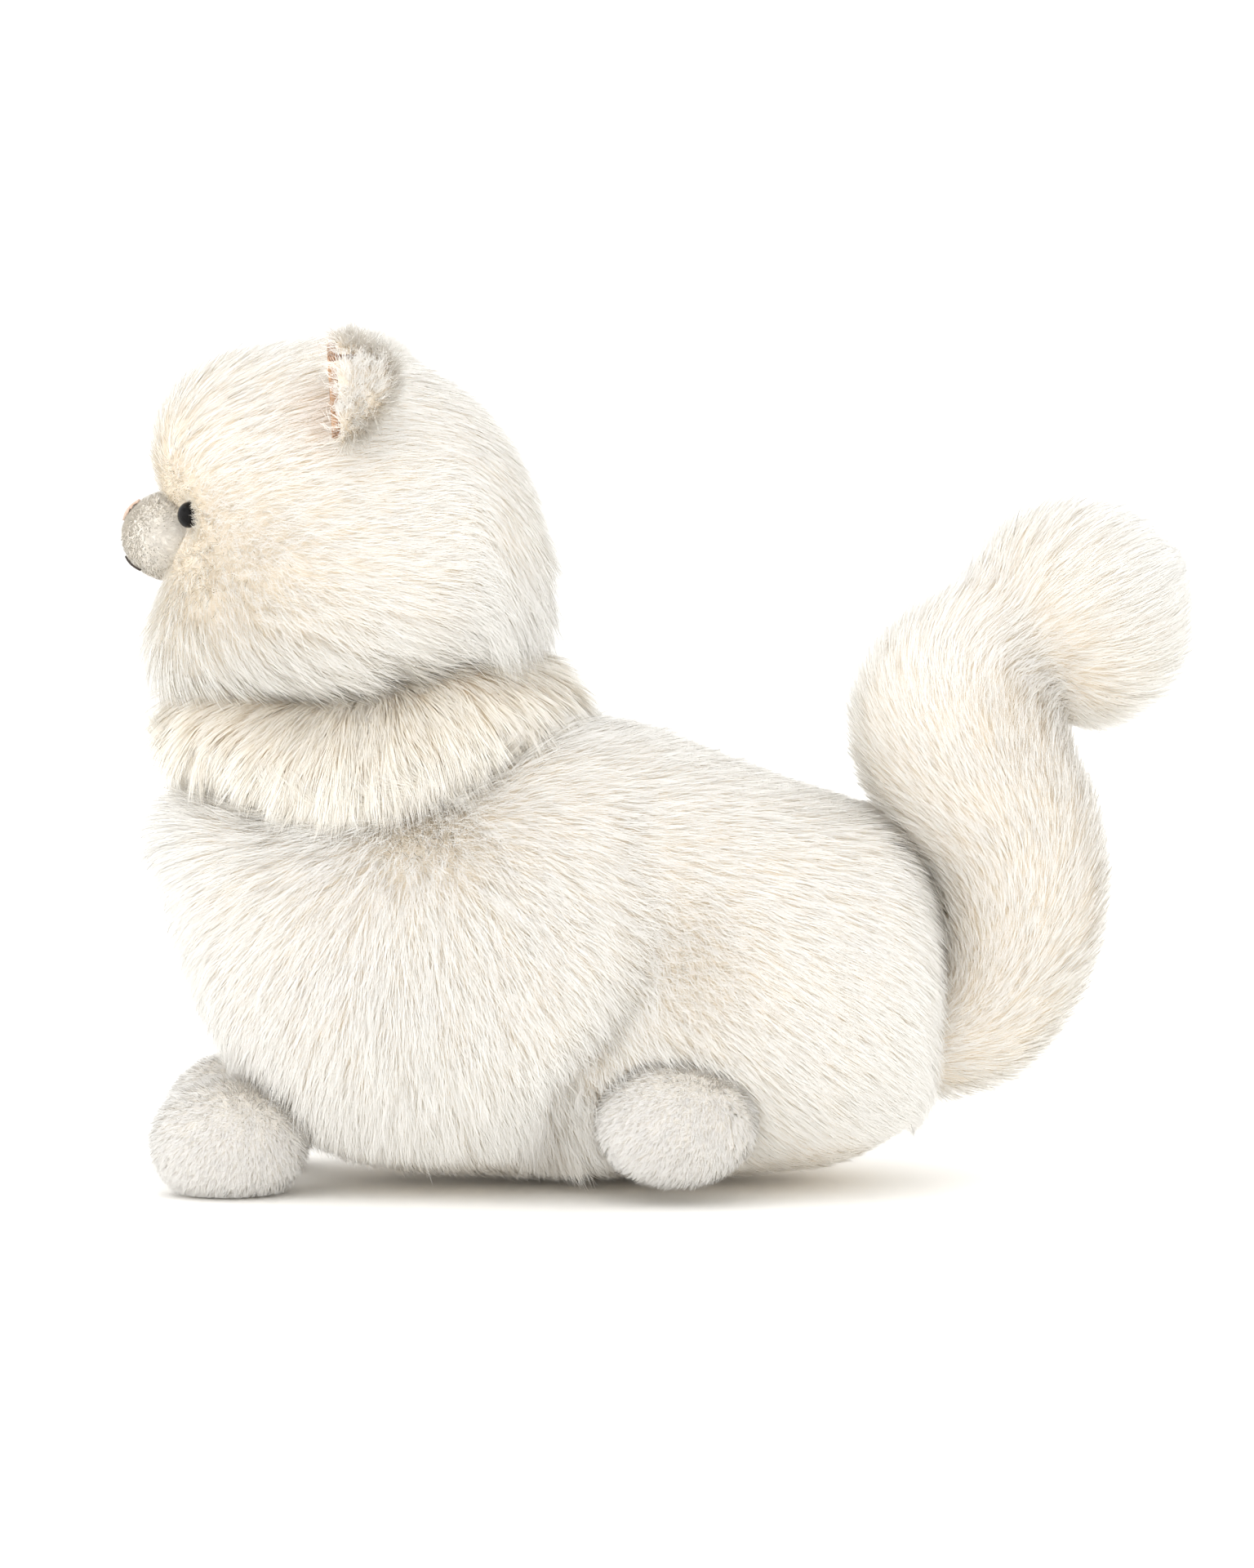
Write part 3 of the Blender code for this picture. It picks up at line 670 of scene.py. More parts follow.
def piece(name, skin, strand_set, fur, cloth, body, nodes):
    """One visible piece: its cloth and its strands in a single mesh, riding on its body."""
    points, tris = skin
    used, flat = np.unique(tris, return_inverse=True)
    cloth_points = points[used]
    cloth_tris = flat.reshape(-1, 3)
    cloth_normals = point_normals(points, tris)[used]
    hair, quads, tips, faced, share, stride, lock, painted_shade = strand_set
    shift = len(cloth_points)
    every = np.vstack([cloth_points, hair]) * MM
    mesh = bpy.data.meshes.new(name)
    corners = np.concatenate([cloth_tris.ravel(), (quads + shift).ravel(), (tips + shift).ravel()])
    sizes = np.concatenate([np.full(len(cloth_tris), 3), np.full(len(quads), 4), np.full(len(tips), 3)])
    starts = np.concatenate([[0], np.cumsum(sizes)[:-1]])
    is_hair = np.arange(len(sizes)) >= len(cloth_tris)
    mesh.vertices.add(len(every))
    mesh.vertices.foreach_set("co", every.astype(np.float32).ravel())
    mesh.loops.add(len(corners))
    mesh.loops.foreach_set("vertex_index", corners.astype(np.int32))
    mesh.polygons.add(len(sizes))
    mesh.polygons.foreach_set("loop_start", starts.astype(np.int32))
    mesh.polygons.foreach_set("material_index", is_hair.astype(np.int32))
    mesh.materials.append(cloth)
    mesh.materials.append(fur)
    mesh.update(calc_edges=True)
    mesh.polygons.foreach_set("use_smooth", np.ones(len(sizes), bool))
    per_point(mesh, "along", 0.0, shift, share)
    per_point(mesh, "lock", 0.5, shift, np.repeat(lock, stride))
    per_point(mesh, "painted_shade", 0.5, shift, np.repeat(painted_shade, stride))
    place = texture_places(cloth_points, len(tips), stride)
    layer = mesh.uv_layers.new(name="OFBake")
    layer.data.foreach_set("uv", place[corners].astype(np.float32).ravel())
    mesh.normals_split_custom_set_from_vertices(np.vstack([cloth_normals, faced]).astype(np.float32))
    shown(name, mesh, body, nodes)


def select(skin_parts, keep):
    """The strands that a mask keeps, ready to be a piece."""
    places, normal, wide, lock, flat, painted_shade = skin_parts
    points, quads, tips, faced, share, stride = ribbons(places[:, keep], normal[keep], wide[keep], flat)
    return points, quads, tips, faced, share, stride, lock[keep], np.broadcast_to(painted_shade, len(keep))[keep]


def whole(skin_parts):
    """All the strands, ready to be a piece."""
    return select(skin_parts, np.ones(len(skin_parts[1]), bool))


def flow_over(normal, direction):
    """The direction along the cloth, without its part across the cloth."""
    d = direction - normal * (direction * normal).sum(1)[:, None]
    return unit(d)


def inside_oval(p, centre, radii, grow=0.0):
    out = np.zeros(len(p), bool)
    for side in (1, -1):
        c = centre * mirrored(side)
        out |= (((p - c) / (radii + grow)) ** 2).sum(1) < 1
    return out


def off_floor(places, low=0.5):
    """Strands that would go under the floor lie on it instead."""
    z = places[..., 2]
    places[..., 2] = np.where(z < low, low + 0.25 * np.exp(np.minimum(z - low, 0)), z)
    return places


def keep_tris(tris, mask):
    return tris[mask[tris].all(1)]


def coat_of(root, normal, flow, long, lift, settle, style, flat, painted_shade, tousle=1.0, floor=None):
    """Strands over roots, with what select needs of them: normals, width, tone, flatness and painted root
    shade.

    flat is how far strands shade like the skin. floor is the height that no strand goes below.
    """
    n = len(root)
    every = np.ones(n)
    places, lock = strands(root, normal, flow, long * every, lift * every, settle * every, style, tousle)
    if floor is not None:
        places = off_floor(places, floor)
    tone = rng.random(n)[lock]
    return places, normal, np.full(n, style["wide"]), tone, flat, painted_shade


def halves(name, skin, fur_set, root, fur, body, node_name):
    """The left and the right piece of one skin. name and node_name hold a {} for the side."""
    points, tris = skin
    middle = points[tris].mean(1)
    for side, word in SIDES:
        cloth, hair = ((p[:, 0] >= 0) == (side > 0) for p in (middle, root))
        strand_set = select(fur_set, hair)
        nodes = [node_name.format(word)]
        piece(name.format(word), (points, tris[cloth]), strand_set, fur, BACKING, body, nodes)


STYLE = {
    "lock": 3, "pull": 0.3, "stray": 6.0, "fray": 8.0, "curl": 26.0, "wide": 0.16, "rows": 3, "reach": 0.8,
    "swell": 7.0, "sway": 9.0
}
RUFF_STYLE = dict(
    STYLE, lock=6, pull=0.5, stray=6.0, fray=5.0, curl=6.0, wide=0.18, rows=4, reach=1.4, swell=9.0, sway=12.0
)
PILE = {
    "lock": 6, "pull": 0.3, "stray": 12.0, "fray": 12.0, "curl": 10.0, "wide": 0.17, "rows": 2, "reach": 0.6,
    "swell": 4.0, "sway": 8.0
}
EAR_STYLE = {
    "lock": 6, "pull": 0.4, "stray": 19.0, "fray": 13.0, "curl": 36.0, "wide": 0.17, "rows": 2, "reach": 1.0,
    "swell": 4.0, "sway": 28.0
}

body_points, body_tris = ringed(BODY_FRONT, BODY_RINGS, BODY_REAR, BODY_POWER, -SUNK, 96)
body_points = push(body_points, body_tris, body_form)
body_points[:, 2] = np.maximum(body_points[:, 2], 1.2)

tail_path = through(TAIL_LINE, 8)
tail_skin = fused([(x, y, z, r - SUNK) for x, y, z, r in tail_path], 1.8, 6)


def near_tail(p, grow=0.0):
    d = np.linalg.norm(p[:, None, :] - tail_path[None, ::2, :3], axis=2) - tail_path[None, ::2, 3]
    return d.min(1) < grow - SUNK


def in_belly(p):
    """Whether points belong to the belly panel."""
    inside = (np.abs(p[:, 0]) < BELLY_HALF) & (p[:, 2] < BELLY_HIGH)
    return inside & (p[:, 1] > BELLY_Y[0]) & (p[:, 1] < BELLY_Y[1])


def in_chest(p):
    """Whether points are in front of the seam down the flank."""
    return p[:, 1] < np.interp(p[:, 2], SEAM_Z, SEAM_Y)


def in_panel(p, side, is_chest):
    """Whether points belong to one of the four panels above the belly panel."""
    return ~in_belly(p) & (in_chest(p) == is_chest) & ((p[:, 0] >= 0) == (side > 0))


# ---- Body
def grow_body():
    root, normal = scatter(body_points, body_tris, BODY_DENSITY)
    bare = (((root - NECK) / NECK_R) ** 2).sum(1) < 0.9
    bare |= inside_oval(root, PAW, PAW_R, -1) | inside_oval(root, FOOT, FOOT_R, -1) | near_tail(root, -1.0)
    root, normal = root[~bare], normal[~bare]
    x, y, z = root.T
    side_of = np.stack([np.sign(x), np.ones(len(root)), np.ones(len(root))], 1)
    away = root - SHOULDER * side_of
    flow = flow_over(normal, unit(away) + np.array([0, 0.05, -0.18]))
    under = smooth(-normal[:, 2], 0.5, 0.9)
    side_on = np.abs(normal[:, 0])
    long = 10.5 + 2.5 * bump(y, -70, 50) * side_on + 1.5 * bump(z, 25, 20)
    long = long * (1 - 0.45 * under)
    # Strands that would run into a paw, a foot or the tail are shorter
    ahead = root + normal * 4 + flow * 5
    crowded = inside_oval(ahead, PAW, PAW_R, 1.5) | inside_oval(ahead, FOOT, FOOT_R, 1.5)
    long[crowded] *= 0.45
    long[near_tail(ahead, 2.0)] *= 0.8
    # Ruffled patches, which also get painted shade: on the flank, on the shoulder, and in the fold between
    # them
    ruffled_shaded = np.clip(
        bump(y, 8, 15) * bump(z, 68, 20) * side_on
        + bump(y, -62, 15) * bump(z, 101, 9) * side_on
        + bump(y, -22, 9) * bump(z, 38, 14) * side_on,
        0,
        1,
    )
    sleek = smooth(y, -10, 30)
    # Longer fur that stands up to meet the ruff
    hem = bump(z, 97, 9) * smooth(-y, 30, 60)
    bib = bump(z, 103, 7) * smooth(-y, 112, 126)
    long += 3.5 * hem + 3.5 * bib
    lift = 42 - 20 * under + 18 * ruffled_shaded - 6 * sleek + 24 * hem + 10 * bib
    settle = 15 - 8 * under + 22 * ruffled_shaded - 3 * sleek
    tousle = 0.9 + 1.2 * ruffled_shaded - 0.35 * sleek
    # Painted shade at the roots, most in the ruffled patches and the fold, for the golden shade where the fur
    # parts
    painted_shade = 0.1 + 0.8 * ruffled_shaded
    fur_set = coat_of(root, normal, flow, long, lift, settle, STYLE, 0.94, painted_shade, tousle, floor=0.5)
    middle = body_points[body_tris].mean(1)
    for side, word in SIDES:
        for where, is_chest in (("chest", True), ("haunch", False)):
            name = f"body_{word}_{where}"
            skin = (body_points, body_tris[in_panel(middle, side, is_chest)])
            hair = select(fur_set, in_panel(root, side, is_chest))
            piece(f"{name}_fur", skin, hair, LONG_FUR, BACKING, "body", [f"{name}_panel"])
    skin = (body_points, body_tris[in_belly(middle)])
    hair = select(fur_set, in_belly(root))
    piece("belly_fur", skin, hair, WARM_FUR, BACKING, "body", ["belly_panel"])


# ---- Head
def grow_head():
    points, tris = ringed(HEAD_FRONT, HEAD_RINGS, HEAD_REAR, HEAD_POWER, -SUNK - 0.5, 96)
    points = push(points, tris, head_form)
    root, normal = scatter(points, tris, HEAD_DENSITY)
    eye_gap = np.linalg.norm(np.stack([np.abs(root[:, 0]), root[:, 1], root[:, 2]], 1) - EYE, axis=1)
    bare = (((root - NECK) / (NECK_R - 3)) ** 2).sum(1) < 1
    bare |= inside_oval(root, MUZZLE, MUZZLE_R, -0.5) | (eye_gap < EYE_R + 0.8)
    root, normal, eye_gap = root[~bare], normal[~bare], eye_gap[~bare]
    _, y, z = root.T
    away = unit(root - FACE)
    low = smooth(-z, -178, -150)
    rear = smooth(y, -62, -40)
    flow = flow_over(normal, away + np.array([0, 0.0, -1.0]) * (0.75 * low + 0.9 * rear)[:, None])
    from_face = np.linalg.norm(root - FACE, axis=1)
    side_on = np.abs(normal[:, 0])
    # Fur is short round the muzzle and the eyes, and longest under the chin and at the nape
    long = np.interp(from_face, (14, 24, 34, 50, 80, 120), (3.0, 5.5, 8.0, 9.5, 10.5, 10.5))
    long += 7.0 * bump(z, 150, 13) * smooth(-y, 50, 75)
    long = np.minimum(long, 1.7 + 0.3 * np.maximum(eye_gap - EYE_R, 0) + 5.0 * smooth(eye_gap, 11, 24))
    chin_front = smooth(-y, 118, 132) * smooth(-z, -172, -160)
    cheek = bump(y, -114, 22) * bump(z, 172, 20) * smooth(side_on, 0.3, 0.8)
    jowl = smooth(-z, -168, -145) * smooth(y, -112, -90)
    sleek = smooth(z, 192, 212)
    nape = smooth(y, -72, -44) * smooth(-z, -186, -158)
    underside = smooth(-z, -152, -142)
    long += 8.0 * nape
    lift = 34 + 30 * cheek - 6 * sleek + 18 * nape + 12 * chin_front
    settle = 10 + 26 * cheek + 16 * nape
    tousle = np.clip(0.75 + 1.2 * cheek + 0.8 * jowl - 0.35 * sleek, 0.3, 2.2)
    # Painted shade at the roots: golden shade under the head and in the curls of the cheek and jowl
    painted_shade = np.clip(0.08 + 0.5 * cheek + 0.2 * jowl + 0.7 * underside, 0, 1)
    fur_set = coat_of(root, normal, flow, long, lift, settle, STYLE, 0.94, painted_shade, tousle)
    halves("head_{}_fur", (points, tris), fur_set, root, LONG_FUR, "head", "head_{}_panel")


# ---- Tail
def grow_tail():
    root, normal = scatter(*tail_skin, TAIL_DENSITY)
    x, y, z = root.T
    spots = tail_path[:, :3]
    near = np.argmin(np.linalg.norm(root[:, None, :] - spots[None, :, :], axis=2), axis=1)
    ahead = unit(np.gradient(spots, axis=0))
    flow = flow_over(normal, ahead[near])
    long = np.full(len(root), 10.0) + 2.0 * smooth(near, 60, 80)
    # Ruffled inside the curl, and a little where the tail leaves the rump
    curl = bump(y, 104, 16) * bump(z, 138, 13) * (x > 0)
    crease = curl + 0.3 * bump(y, 86, 8) * bump(z, 66, 20)
    lift = 42 + 22 * crease
    settle = 16 + 24 * crease
    # Painted shade at the roots, most in the crease inside the curl
    painted_shade = np.clip(0.1 + 0.9 * crease, 0, 1)
    fur_set = coat_of(root, normal, flow, long, lift, settle, STYLE, 0.92, painted_shade, 0.65 + 1.2 * crease)
    halves("tail_{}_fur", tail_skin, fur_set, root, TAIL_FUR, "tail", "tail_{}_panel")


# ---- Ruff: long hair that falls from a soft collar round the neck
def grow_ruff():
    points, tris = oval(RUFF, RUFF_R, 96, 48)
    points[:, 2] += 15.0 * smooth(points[:, 1], -82, -42) + 11.0 * smooth(-points[:, 1], 92, 128)
    out_of_neck = (((points - NECK) / (NECK_R - 1)) ** 2).sum(1) > 1
    tris = keep_tris(tris, out_of_neck & (points[:, 2] > RUFF_LOW))
    root, normal = scatter(points, tris, RUFF_DENSITY)
    thinned = rng.random(len(root)) < 1.15 - 0.8 * smooth(-root[:, 2], -116, -RUFF_LOW)
    root, normal = root[thinned], normal[thinned]
    _, y, z = root.T
    away = root - NECK
    flow = flow_over(normal, unit(away * np.array([1, 1.1, 0])) + np.array([0, 0, -0.6]))
    behind = smooth(y, -66, -36)
    low = smooth(-z, -116, -100)
    uneven = 1 + 0.22 * swirl(root, 6.0, 4.1) + 0.2 * swirl(root, 15.0, 1.3)
    long = (15.0 - 2.0 * behind + 2.0 * low + 3.5 * smooth(-y, 106, 124)) * uneven
    lift = 24.0 + 8.0 * behind
    settle = lift - 40 - 14 * low + 10 * behind
    # Painted shade at the roots, more toward the top of the ruff, under the head
    shaded_under_head = smooth(z - 0.25 * (y + 80), 122, 136)
    fur_set = coat_of(root, normal, flow, long, lift, settle, RUFF_STYLE, 0.92, 0.3 + 0.7 * shaded_under_head)
    halves("ruff_{}_fur", (points, tris), fur_set, root, RUFF_FUR, "body", "ruff_{}")


# ---- Neck: cloth ball with the top rows of the ruff growing from it
def grow_neck():
    points, tris = oval(NECK, np.full(3, NECK_R - 1.5))
    tris = keep_tris(tris, points[:, 2] > 90)
    collar = keep_tris(tris, (points[:, 2] > 112) & (points[:, 2] < 137))
    root, normal = scatter(points, collar, RUFF_DENSITY)
    flow = flow_over(normal, normal * np.array([1, 1, 0]) + np.array([0, 0, -1.0]))
    back = smooth(root[:, 1], -78, -50)
    long = 17.0 + 3.0 * back
    # Neck fur takes all of its painted root shade, for the gap under the head
    hair = whole(coat_of(root, normal, flow, long, 50 + 8 * back, 2 + 10 * back, RUFF_STYLE, 0.85, 1.0))
    piece("neck_fur", (points, tris), hair, RUFF_FUR, NECK_CLOTH, "neck", ["neck_cover"])


# ---- Paws, feet and muzzle in short pile
def pile_oval(name, centre, radii, long, density, flow_from, fur, body, nodes, floor=True, bare=None):
    points, tris = oval(centre, radii, 56, 36)
    if floor:
        points[:, 2] = np.maximum(points[:, 2], 1.0)
    root, normal = scatter(points, tris, density)
    if bare is not None:
        keep = ~bare(root)
        root, normal = root[keep], normal[keep]
    flow = flow_over(normal, unit(root - flow_from) + 0.02)
    shading = 0.85 if floor else 1.0
    low = 0.4 if floor else None
    # A little painted shade at the roots of the pile
    hair = whole(coat_of(root, normal, flow, long, 62.0, 34.0, PILE, shading, 0.3, floor=low))
    piece(name, (points, tris), hair, fur, PILE_BACKING, body, nodes)


def in_body(p):
    """Points well inside the body, where no pile would show."""
    places = [ring[0] for ring in BODY_RINGS]
    low, high, wide = (np.interp(p[:, 1], places, [ring[k] for ring in BODY_RINGS]) for k in (1, 2, 3))
    mid = 0.5 * (low + high)
    rise = 0.5 * (high - low) - SUNK - 3
    across = np.abs(p[:, 0]) / (wide - SUNK - 3)
    return across**BODY_POWER + (np.abs(p[:, 2] - mid) / rise) ** BODY_POWER < 1


def in_face(p):
    return (p[:, 1] > -128) & (np.abs(p[:, 0]) < 60)


def grow_paws(side, word):
    flip = mirrored(side)
    for name, centre, radii, start in (
        (f"front_{word}_paw", PAW, PAW_R, [0, 10, 25]),
        (f"hind_{word}_foot", FOOT, FOOT_R, [-5, 12, 20]),
    ):
        pile_oval(
            f"{name}_pile", centre * flip, radii, 3.0, PAW_DENSITY, (centre + start) * flip, SHORT_PILE,
            "body", [f"{name}_cover"], bare=in_body
        )


def grow_muzzle():
    pile_oval(
        "muzzle_pile", MUZZLE, MUZZLE_R, 0.9, MUZZLE_DENSITY, MUZZLE + [0, -16, 6], MUZZLE_PILE,
        "head", ["muzzle_cover"], False, in_face
    )


# ---- Ears: a cupped back of short fur, and a peach lining seen inside the cup
def ear_sheet(side, inset, thick, across_steps=28, up_steps=24):
    """A cupped petal with a front and a back skin: points, triangles, and where the back's points begin."""
    front, behind = [], []
    for j in range(up_steps):
        t = j / (up_steps - 1)
        wide = EAR_WIDE * math.sqrt(max(1 - t**2.6, 0.0)) * (0.74 + 0.26 * math.sin(math.pi * t))
        wide = max(wide - 0.6 * inset, 1.2)
        for i in range(across_steps):
            s = 2 * i / (across_steps - 1) - 1
            v = (EAR_TALL - 1.2 * inset) * t - 2.6 * s * s * (1 - t) + 0.5 * inset * (1 - t)
            cup = EAR_DEEP * (1 - s * s) * math.sin(math.pi * (0.14 + 0.56 * t)) * (1 - 0.45 * t**3)
            half = 0.5 * thick * math.sqrt(max(1 - s**8, 0.02)) * math.sqrt(max(1 - t**8, 0.02))
            front.append((s * wide, cup - inset - half, v))
            behind.append((s * wide, cup - inset + half, v))
    points = np.array(front + behind)
    far = len(front)
    tris = []
    for j in range(up_steps - 1):
        for i in range(across_steps - 1):
            a = j * across_steps + i
            b, c, d = a + 1, a + 1 + across_steps, a + across_steps
            tris += [(a, b, c), (a, c, d)]
            tris += [(a + far, c + far, b + far), (a + far, d + far, c + far)]
    rim = list(range(across_steps))
    rim += [j * across_steps + across_steps - 1 for j in range(1, up_steps)]
    rim += [(up_steps - 1) * across_steps + i for i in range(across_steps - 2, -1, -1)]
    rim += [j * across_steps for j in range(up_steps - 2, 0, -1)]
    for a, b in zip(rim, rim[1:] + rim[:1]):
        tris += [(b, a, a + far), (b, a + far, b + far)]
    out = Vector((EAR_OUT * mirrored(side)).tolist()).normalized()
    back = Vector((0, 1, 0))
    frame_at = Matrix((back.cross(out).normalized(), back, out)).transposed()
    turn = np.array(frame_at @ Matrix.Rotation(math.radians(EAR_TURN * side), 3, "Z"))
    return points @ turn.T + EAR * mirrored(side), np.array(tris), far


def grow_ear(side, word):
    base = EAR * mirrored(side)
    out = EAR_OUT * mirrored(side)
    points, tris, far = ear_sheet(side, 0.0, 2.4)
    root, normal = scatter(points, tris[(tris >= far).any(1)], EAR_DENSITY)
    flow = flow_over(normal, unit(root - base) + 0.2 * out)
    # The fur at the rim runs forward, over the edge of the lining
    rim = smooth(EAR[1] - root[:, 1], -2.5, 0.5)
    flow = unit(flow + rim[:, None] * np.array([0, -2.5, 0]))
    long = 6.0 + 1.5 * rim - 1.6 * smooth((root - base) @ out, 8, 18)
    lift = 58.0 - 20 * rim
    # Half of the painted root shade
    hair = whole(coat_of(root, normal, flow, long, lift, 30.0 - 20 * rim, EAR_STYLE, 0.75, 0.5, 1.5))
    nodes = [f"ear_{word}_back"]
    piece(f"ear_{word}_fur", (points, tris), hair, EAR_FUR, BACKING, f"ear_{word}", nodes)
    points, tris, far = ear_sheet(side, 2.4, 1.0)
    root, normal = scatter(points, keep_tris(tris, np.arange(len(points)) < far), LINING_DENSITY)
    flow = flow_over(normal, np.tile(out, (len(root), 1)))
    skin = (points, tris)
    # Half of the painted root shade, darkest in the lining's slit
    hair = whole(coat_of(root, normal, flow, 1.8, 60.0, 35.0, EAR_STYLE, 0.75, 0.5))
    nodes = [f"ear_{word}_lining"]
    piece(f"ear_{word}_inside", skin, hair, PEACH, PEACH_BACKING, f"ear_{word}", nodes)


# ---- Eyes
def add_eye(side, word):
    """A glossy dome on its shank, and the colour of the washer behind it."""
    flip = mirrored(side)
    aim = Vector((EYE_AIM * flip).tolist()).normalized()
    centre = Vector((EYE * flip * MM).tolist())
    turn = aim.to_track_quat("Z", "Y").to_matrix().to_4x4()
    bm = bmesh.new()
    bmesh.ops.create_uvsphere(bm, u_segments=48, v_segments=32, radius=1.0)
    dome = Matrix.Diagonal((EYE_R * MM, EYE_R * MM, EYE_DEEP * MM, 1))
    bm.transform(Matrix.Translation(centre) @ turn @ dome)
    thick = SHANK_R * MM
    middle = Matrix.Translation(centre - aim * SHANK_BACK * MM) @ turn
    bmesh.ops.create_cone(
        bm, cap_ends=True, segments=20, radius1=thick, radius2=thick, depth=SHANK_LONG * MM, matrix=middle
    )
    name = f"eye_{word}_dome"
    shown(name, rounded(mesh_of(bm, name), EYE_BLACK), "head", [f"eye_{word}"])
    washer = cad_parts[f"eye_washer_{word}"].data.materials
    washer.clear()
    washer.append(WASHER_WHITE)


# ---- Threads on the muzzle: a satin-stitched nose and a short mouth line
def thread(bm, line, radius, sides=8):
    """A closed round thread along a line of points in millimetres."""
    rings = []
    line = np.array(line, float)
    ahead = unit(np.gradient(line, axis=0))
    for at, along in zip(line, ahead):
        across = unit(np.cross(along, [1.0, 0.13, 0.21]))
        up = np.cross(across, along)
        turn = 2 * np.pi * np.arange(sides) / sides
        ring = at + radius * (np.cos(turn)[:, None] * across + np.sin(turn)[:, None] * up)
        rings.append([bm.verts.new(tuple(v * MM)) for v in ring])
    for a, b in zip(rings, rings[1:]):
        for k in range(sides):
            n = (k + 1) % sides
            bm.faces.new((a[k], a[n], b[n], b[k]))
    bm.faces.new(rings[0][::-1])
    bm.faces.new(rings[-1])


def on_muzzle(x, z, above):
    """The point of the muzzle's surface in front of x, z, raised by above."""
    across = (x - MUZZLE[0]) / MUZZLE_R[0]
    up = (z - MUZZLE[2]) / MUZZLE_R[2]
    depth = math.sqrt(max(1 - across**2 - up**2, 0))
    surface = MUZZLE + MUZZLE_R * np.array([across, -depth, up])
    return surface + unit((surface - MUZZLE) / MUZZLE_R**2) * above


def sewn(name, lines, cloth, node_name):
    bm = bmesh.new()
    for line in lines:
        thread(bm, line, THREAD)
    bmesh.ops.recalc_face_normals(bm, faces=bm.faces[:])
    shown(name, rounded(mesh_of(bm, name), cloth), "head", [node_name])


def nose_lines():
    """Stitches side by side, each from the nose's top edge down to its rounded lower edge."""
    lines = []
    side_top = NOSE_TOP - 1.4
    for x in np.arange(-NOSE_WIDE, NOSE_WIDE + 0.01, STITCH):
        share = x / NOSE_WIDE
        low = side_top - (side_top - NOSE_LOW) * math.sqrt(max(1 - share**2, 0.0))
        steps = zip(np.linspace(0, 1, 9), np.linspace(NOSE_TOP - 0.5 * share**2, low, 9))
        lines.append([on_muzzle(x, z, 0.75 + 0.45 * math.sin(math.pi * s)) for s, z in steps])
    return lines


# ---- Fillings: lumps of fibre inside each skin, and the bag of beans
def lump(name, skin, cloth, body, node_name, rough=1.0):
    """A closed lump with the unevenness of hand-packed filling."""
    p, tris = skin
    wave = np.sin(p[:, 0] * 0.31 + 1.7) * np.sin(p[:, 1] * 0.27) + np.sin(p[:, 2] * 0.35 + p[:, 0] * 0.12)
    points = p - point_normals(p, tris) * (0.9 + 0.45 * wave)[:, None] * rough
    mesh = bpy.data.meshes.new(name)
    mesh.from_pydata((points * MM).tolist(), [], tris.tolist())
    shown(name, rounded(mesh, cloth), body, [node_name])


def in_box(node_name, shrink):
    """An egg shape inside a CAD node's box."""
    low, high = (np.array(corner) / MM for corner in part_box(node_name))
    return oval(0.5 * (low + high), 0.5 * (high - low) - shrink)


def add_fillings():
    inner_body = ringed(BODY_FRONT, BODY_RINGS, BODY_REAR, BODY_POWER, -SUNK - 7.0, 64)
    inner_head = ringed(HEAD_FRONT, HEAD_RINGS, HEAD_REAR, HEAD_POWER, -SUNK - 11.0, 64)
    inner_tail = fused([(x, y, z, max(r - SUNK - 3.5, 3.0)) for x, y, z, r in tail_path], 2.6, 6)
    rows = [
        ("body", inner_body, "body", 0.8, 1.0),
        ("head", inner_head, "head", 0.8, 1.0),
        ("tail", inner_tail, "tail", 0.8, 1.0),
        ("neck", oval(NECK, np.full(3, NECK_R - 5)), "neck", 0.9, 1.0),
        ("muzzle", oval(MUZZLE, MUZZLE_R - 3), "head", 0.8, 0.5),
    ]
    for side, word in SIDES:
        flip = mirrored(side)
        rows.append((f"front_{word}_paw", oval(PAW * flip + [0, 0, 1.5], PAW_R - 4), "body", 0.8, 0.5))
        rows.append((f"hind_{word}_foot", oval(FOOT * flip, FOOT_R - 3), "body", 0.8, 0.5))
    for part, skin, body, fill, rough in rows:
        lump(f"{part}_filling", skin, FIBRE, body, f"{part}_stuffing", rough)
    lump("bean_pouch", in_box("bean_bag", 0.6), BEAN_CLOTH, "body", "bean_bag", 0.5)


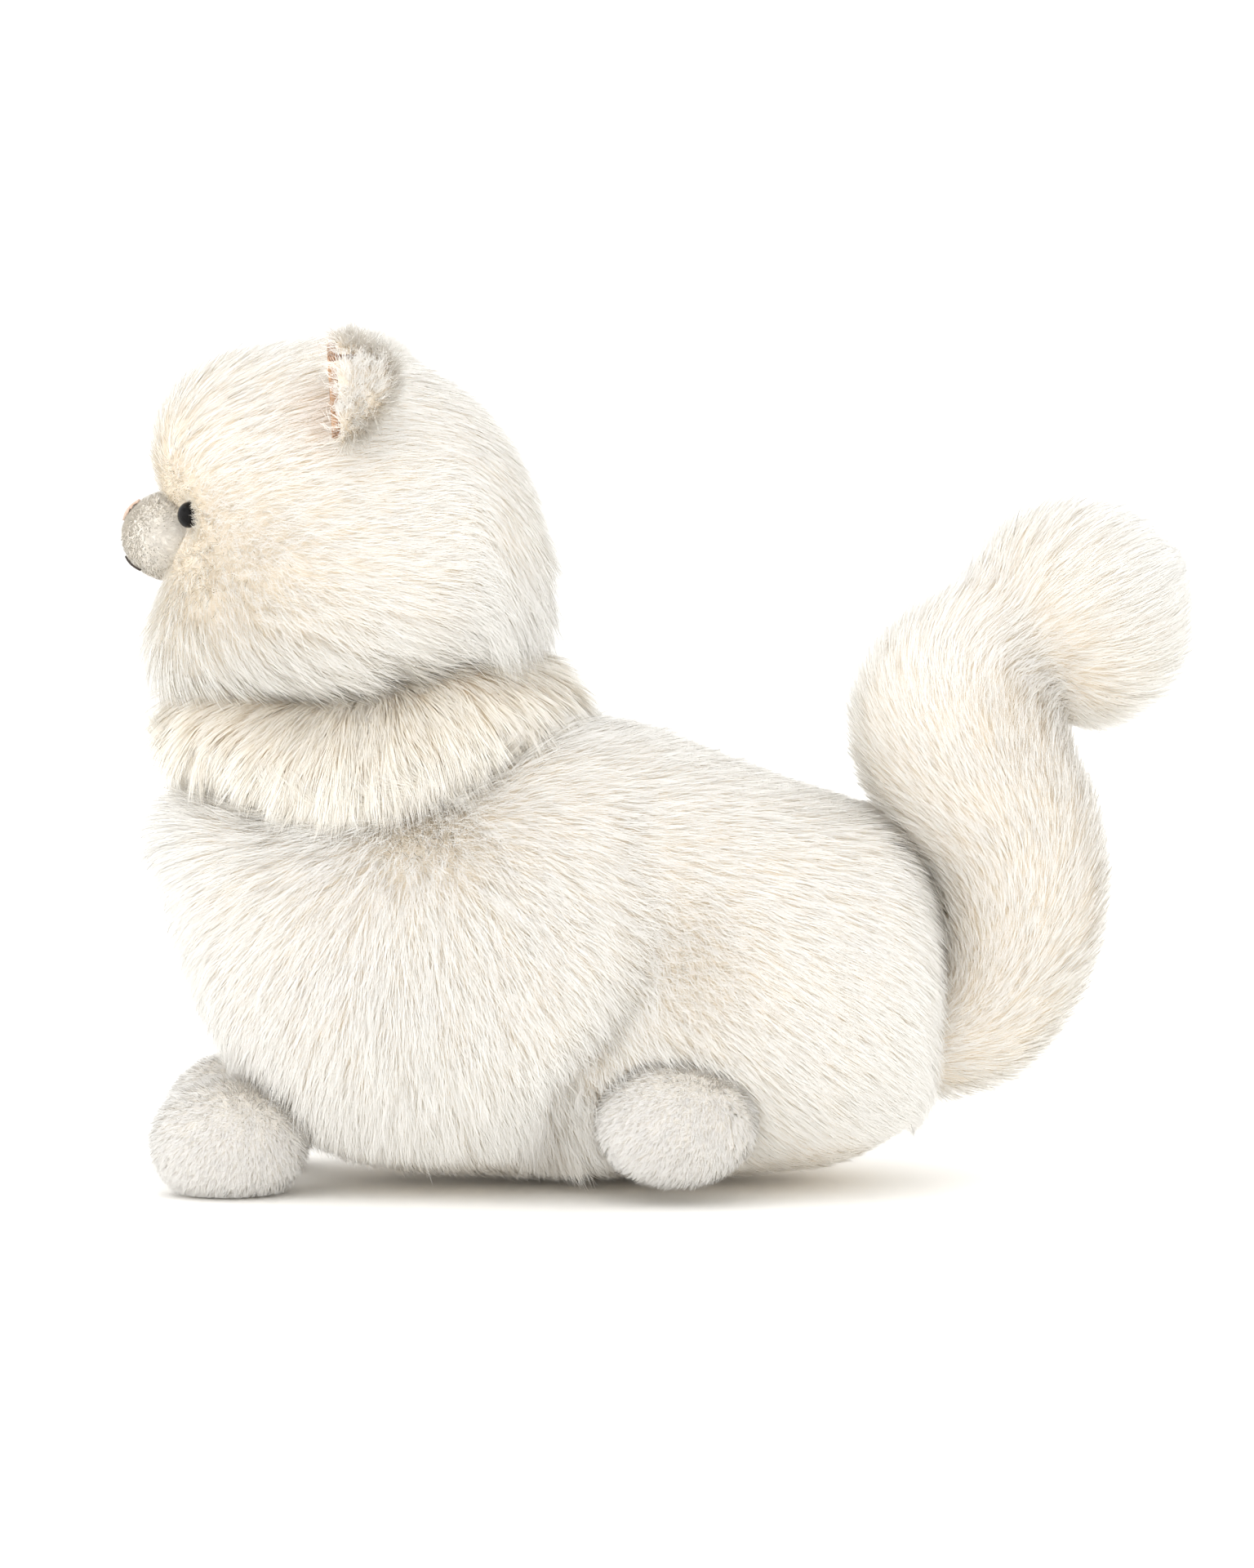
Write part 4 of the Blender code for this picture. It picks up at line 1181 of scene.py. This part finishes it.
# ---- Floor, light and camera
def add_floor():
    paper, _, shader = shader_of("white paper")
    put(shader, {"Base Color": (0.985, 0.975, 0.95, 1), "Roughness": 0.9})
    bpy.ops.mesh.primitive_plane_add(size=12.0, location=(0, 0, 0))
    floor = bpy.context.active_object
    floor.name = "floor"
    floor.data.materials.append(paper)


def add_world():
    world = bpy.data.worlds.new("studio")
    bpy.context.scene.world = world
    world.use_nodes = True
    sky = world.node_tree.nodes["Background"]
    sky.inputs["Color"].default_value = (1.0, 1.0, 1.0, 1)
    sky.inputs["Strength"].default_value = SKY_POWER


def softbox(name, place, size, power):
    light = bpy.data.lights.new(name, "AREA")
    light.shape = "RECTANGLE"
    light.size, light.size_y = size
    light.energy = power
    ob = placed(name, light)
    ob.location = place
    ob.rotation_euler = (Vector(LIGHT_AIM) - Vector(place)).to_track_quat("-Z", "Y").to_euler()


def add_camera():
    """A camera on the cat's left, a little above its middle, that frames it as in the photo."""
    camera = bpy.data.cameras.new("camera")
    camera.sensor_width = SENSOR
    camera.lens = SENSOR * DISTANCE / VIEW_TALL
    camera.clip_start = 0.05
    eye_point = placed("camera", camera)
    eye_point.location = VIEW_AIM + DISTANCE * Vector((math.cos(TILT), 0, math.sin(TILT)))
    eye_point.rotation_euler = (VIEW_AIM - eye_point.location).to_track_quat("-Z", "Y").to_euler()
    bpy.context.scene.camera = eye_point


# The order of these calls fixes the order of the random draws
grow_body()
grow_head()
grow_tail()
grow_ruff()
grow_neck()
for side, word in SIDES:
    grow_paws(side, word)
grow_muzzle()
for side, word in SIDES:
    grow_ear(side, word)

for side, word in SIDES:
    add_eye(side, word)
sewn("nose_stitches", nose_lines(), PINK_THREAD, "nose_embroidery")
mouth_lines = [[on_muzzle(side * x, z, 0.9) for x, z in through(MOUTH, 4)] for side, _ in SIDES]
sewn("mouth_threads", mouth_lines, DARK_THREAD, "mouth_stitch")
add_fillings()

add_floor()
add_world()
for name, place, size, power in LIGHTS:
    softbox(name, place, size, power)
add_camera()
bpy.context.scene.view_settings.view_transform = "Standard"
bpy.context.scene.cycles.max_bounces = 16
bpy.context.scene.cycles.diffuse_bounces = 12
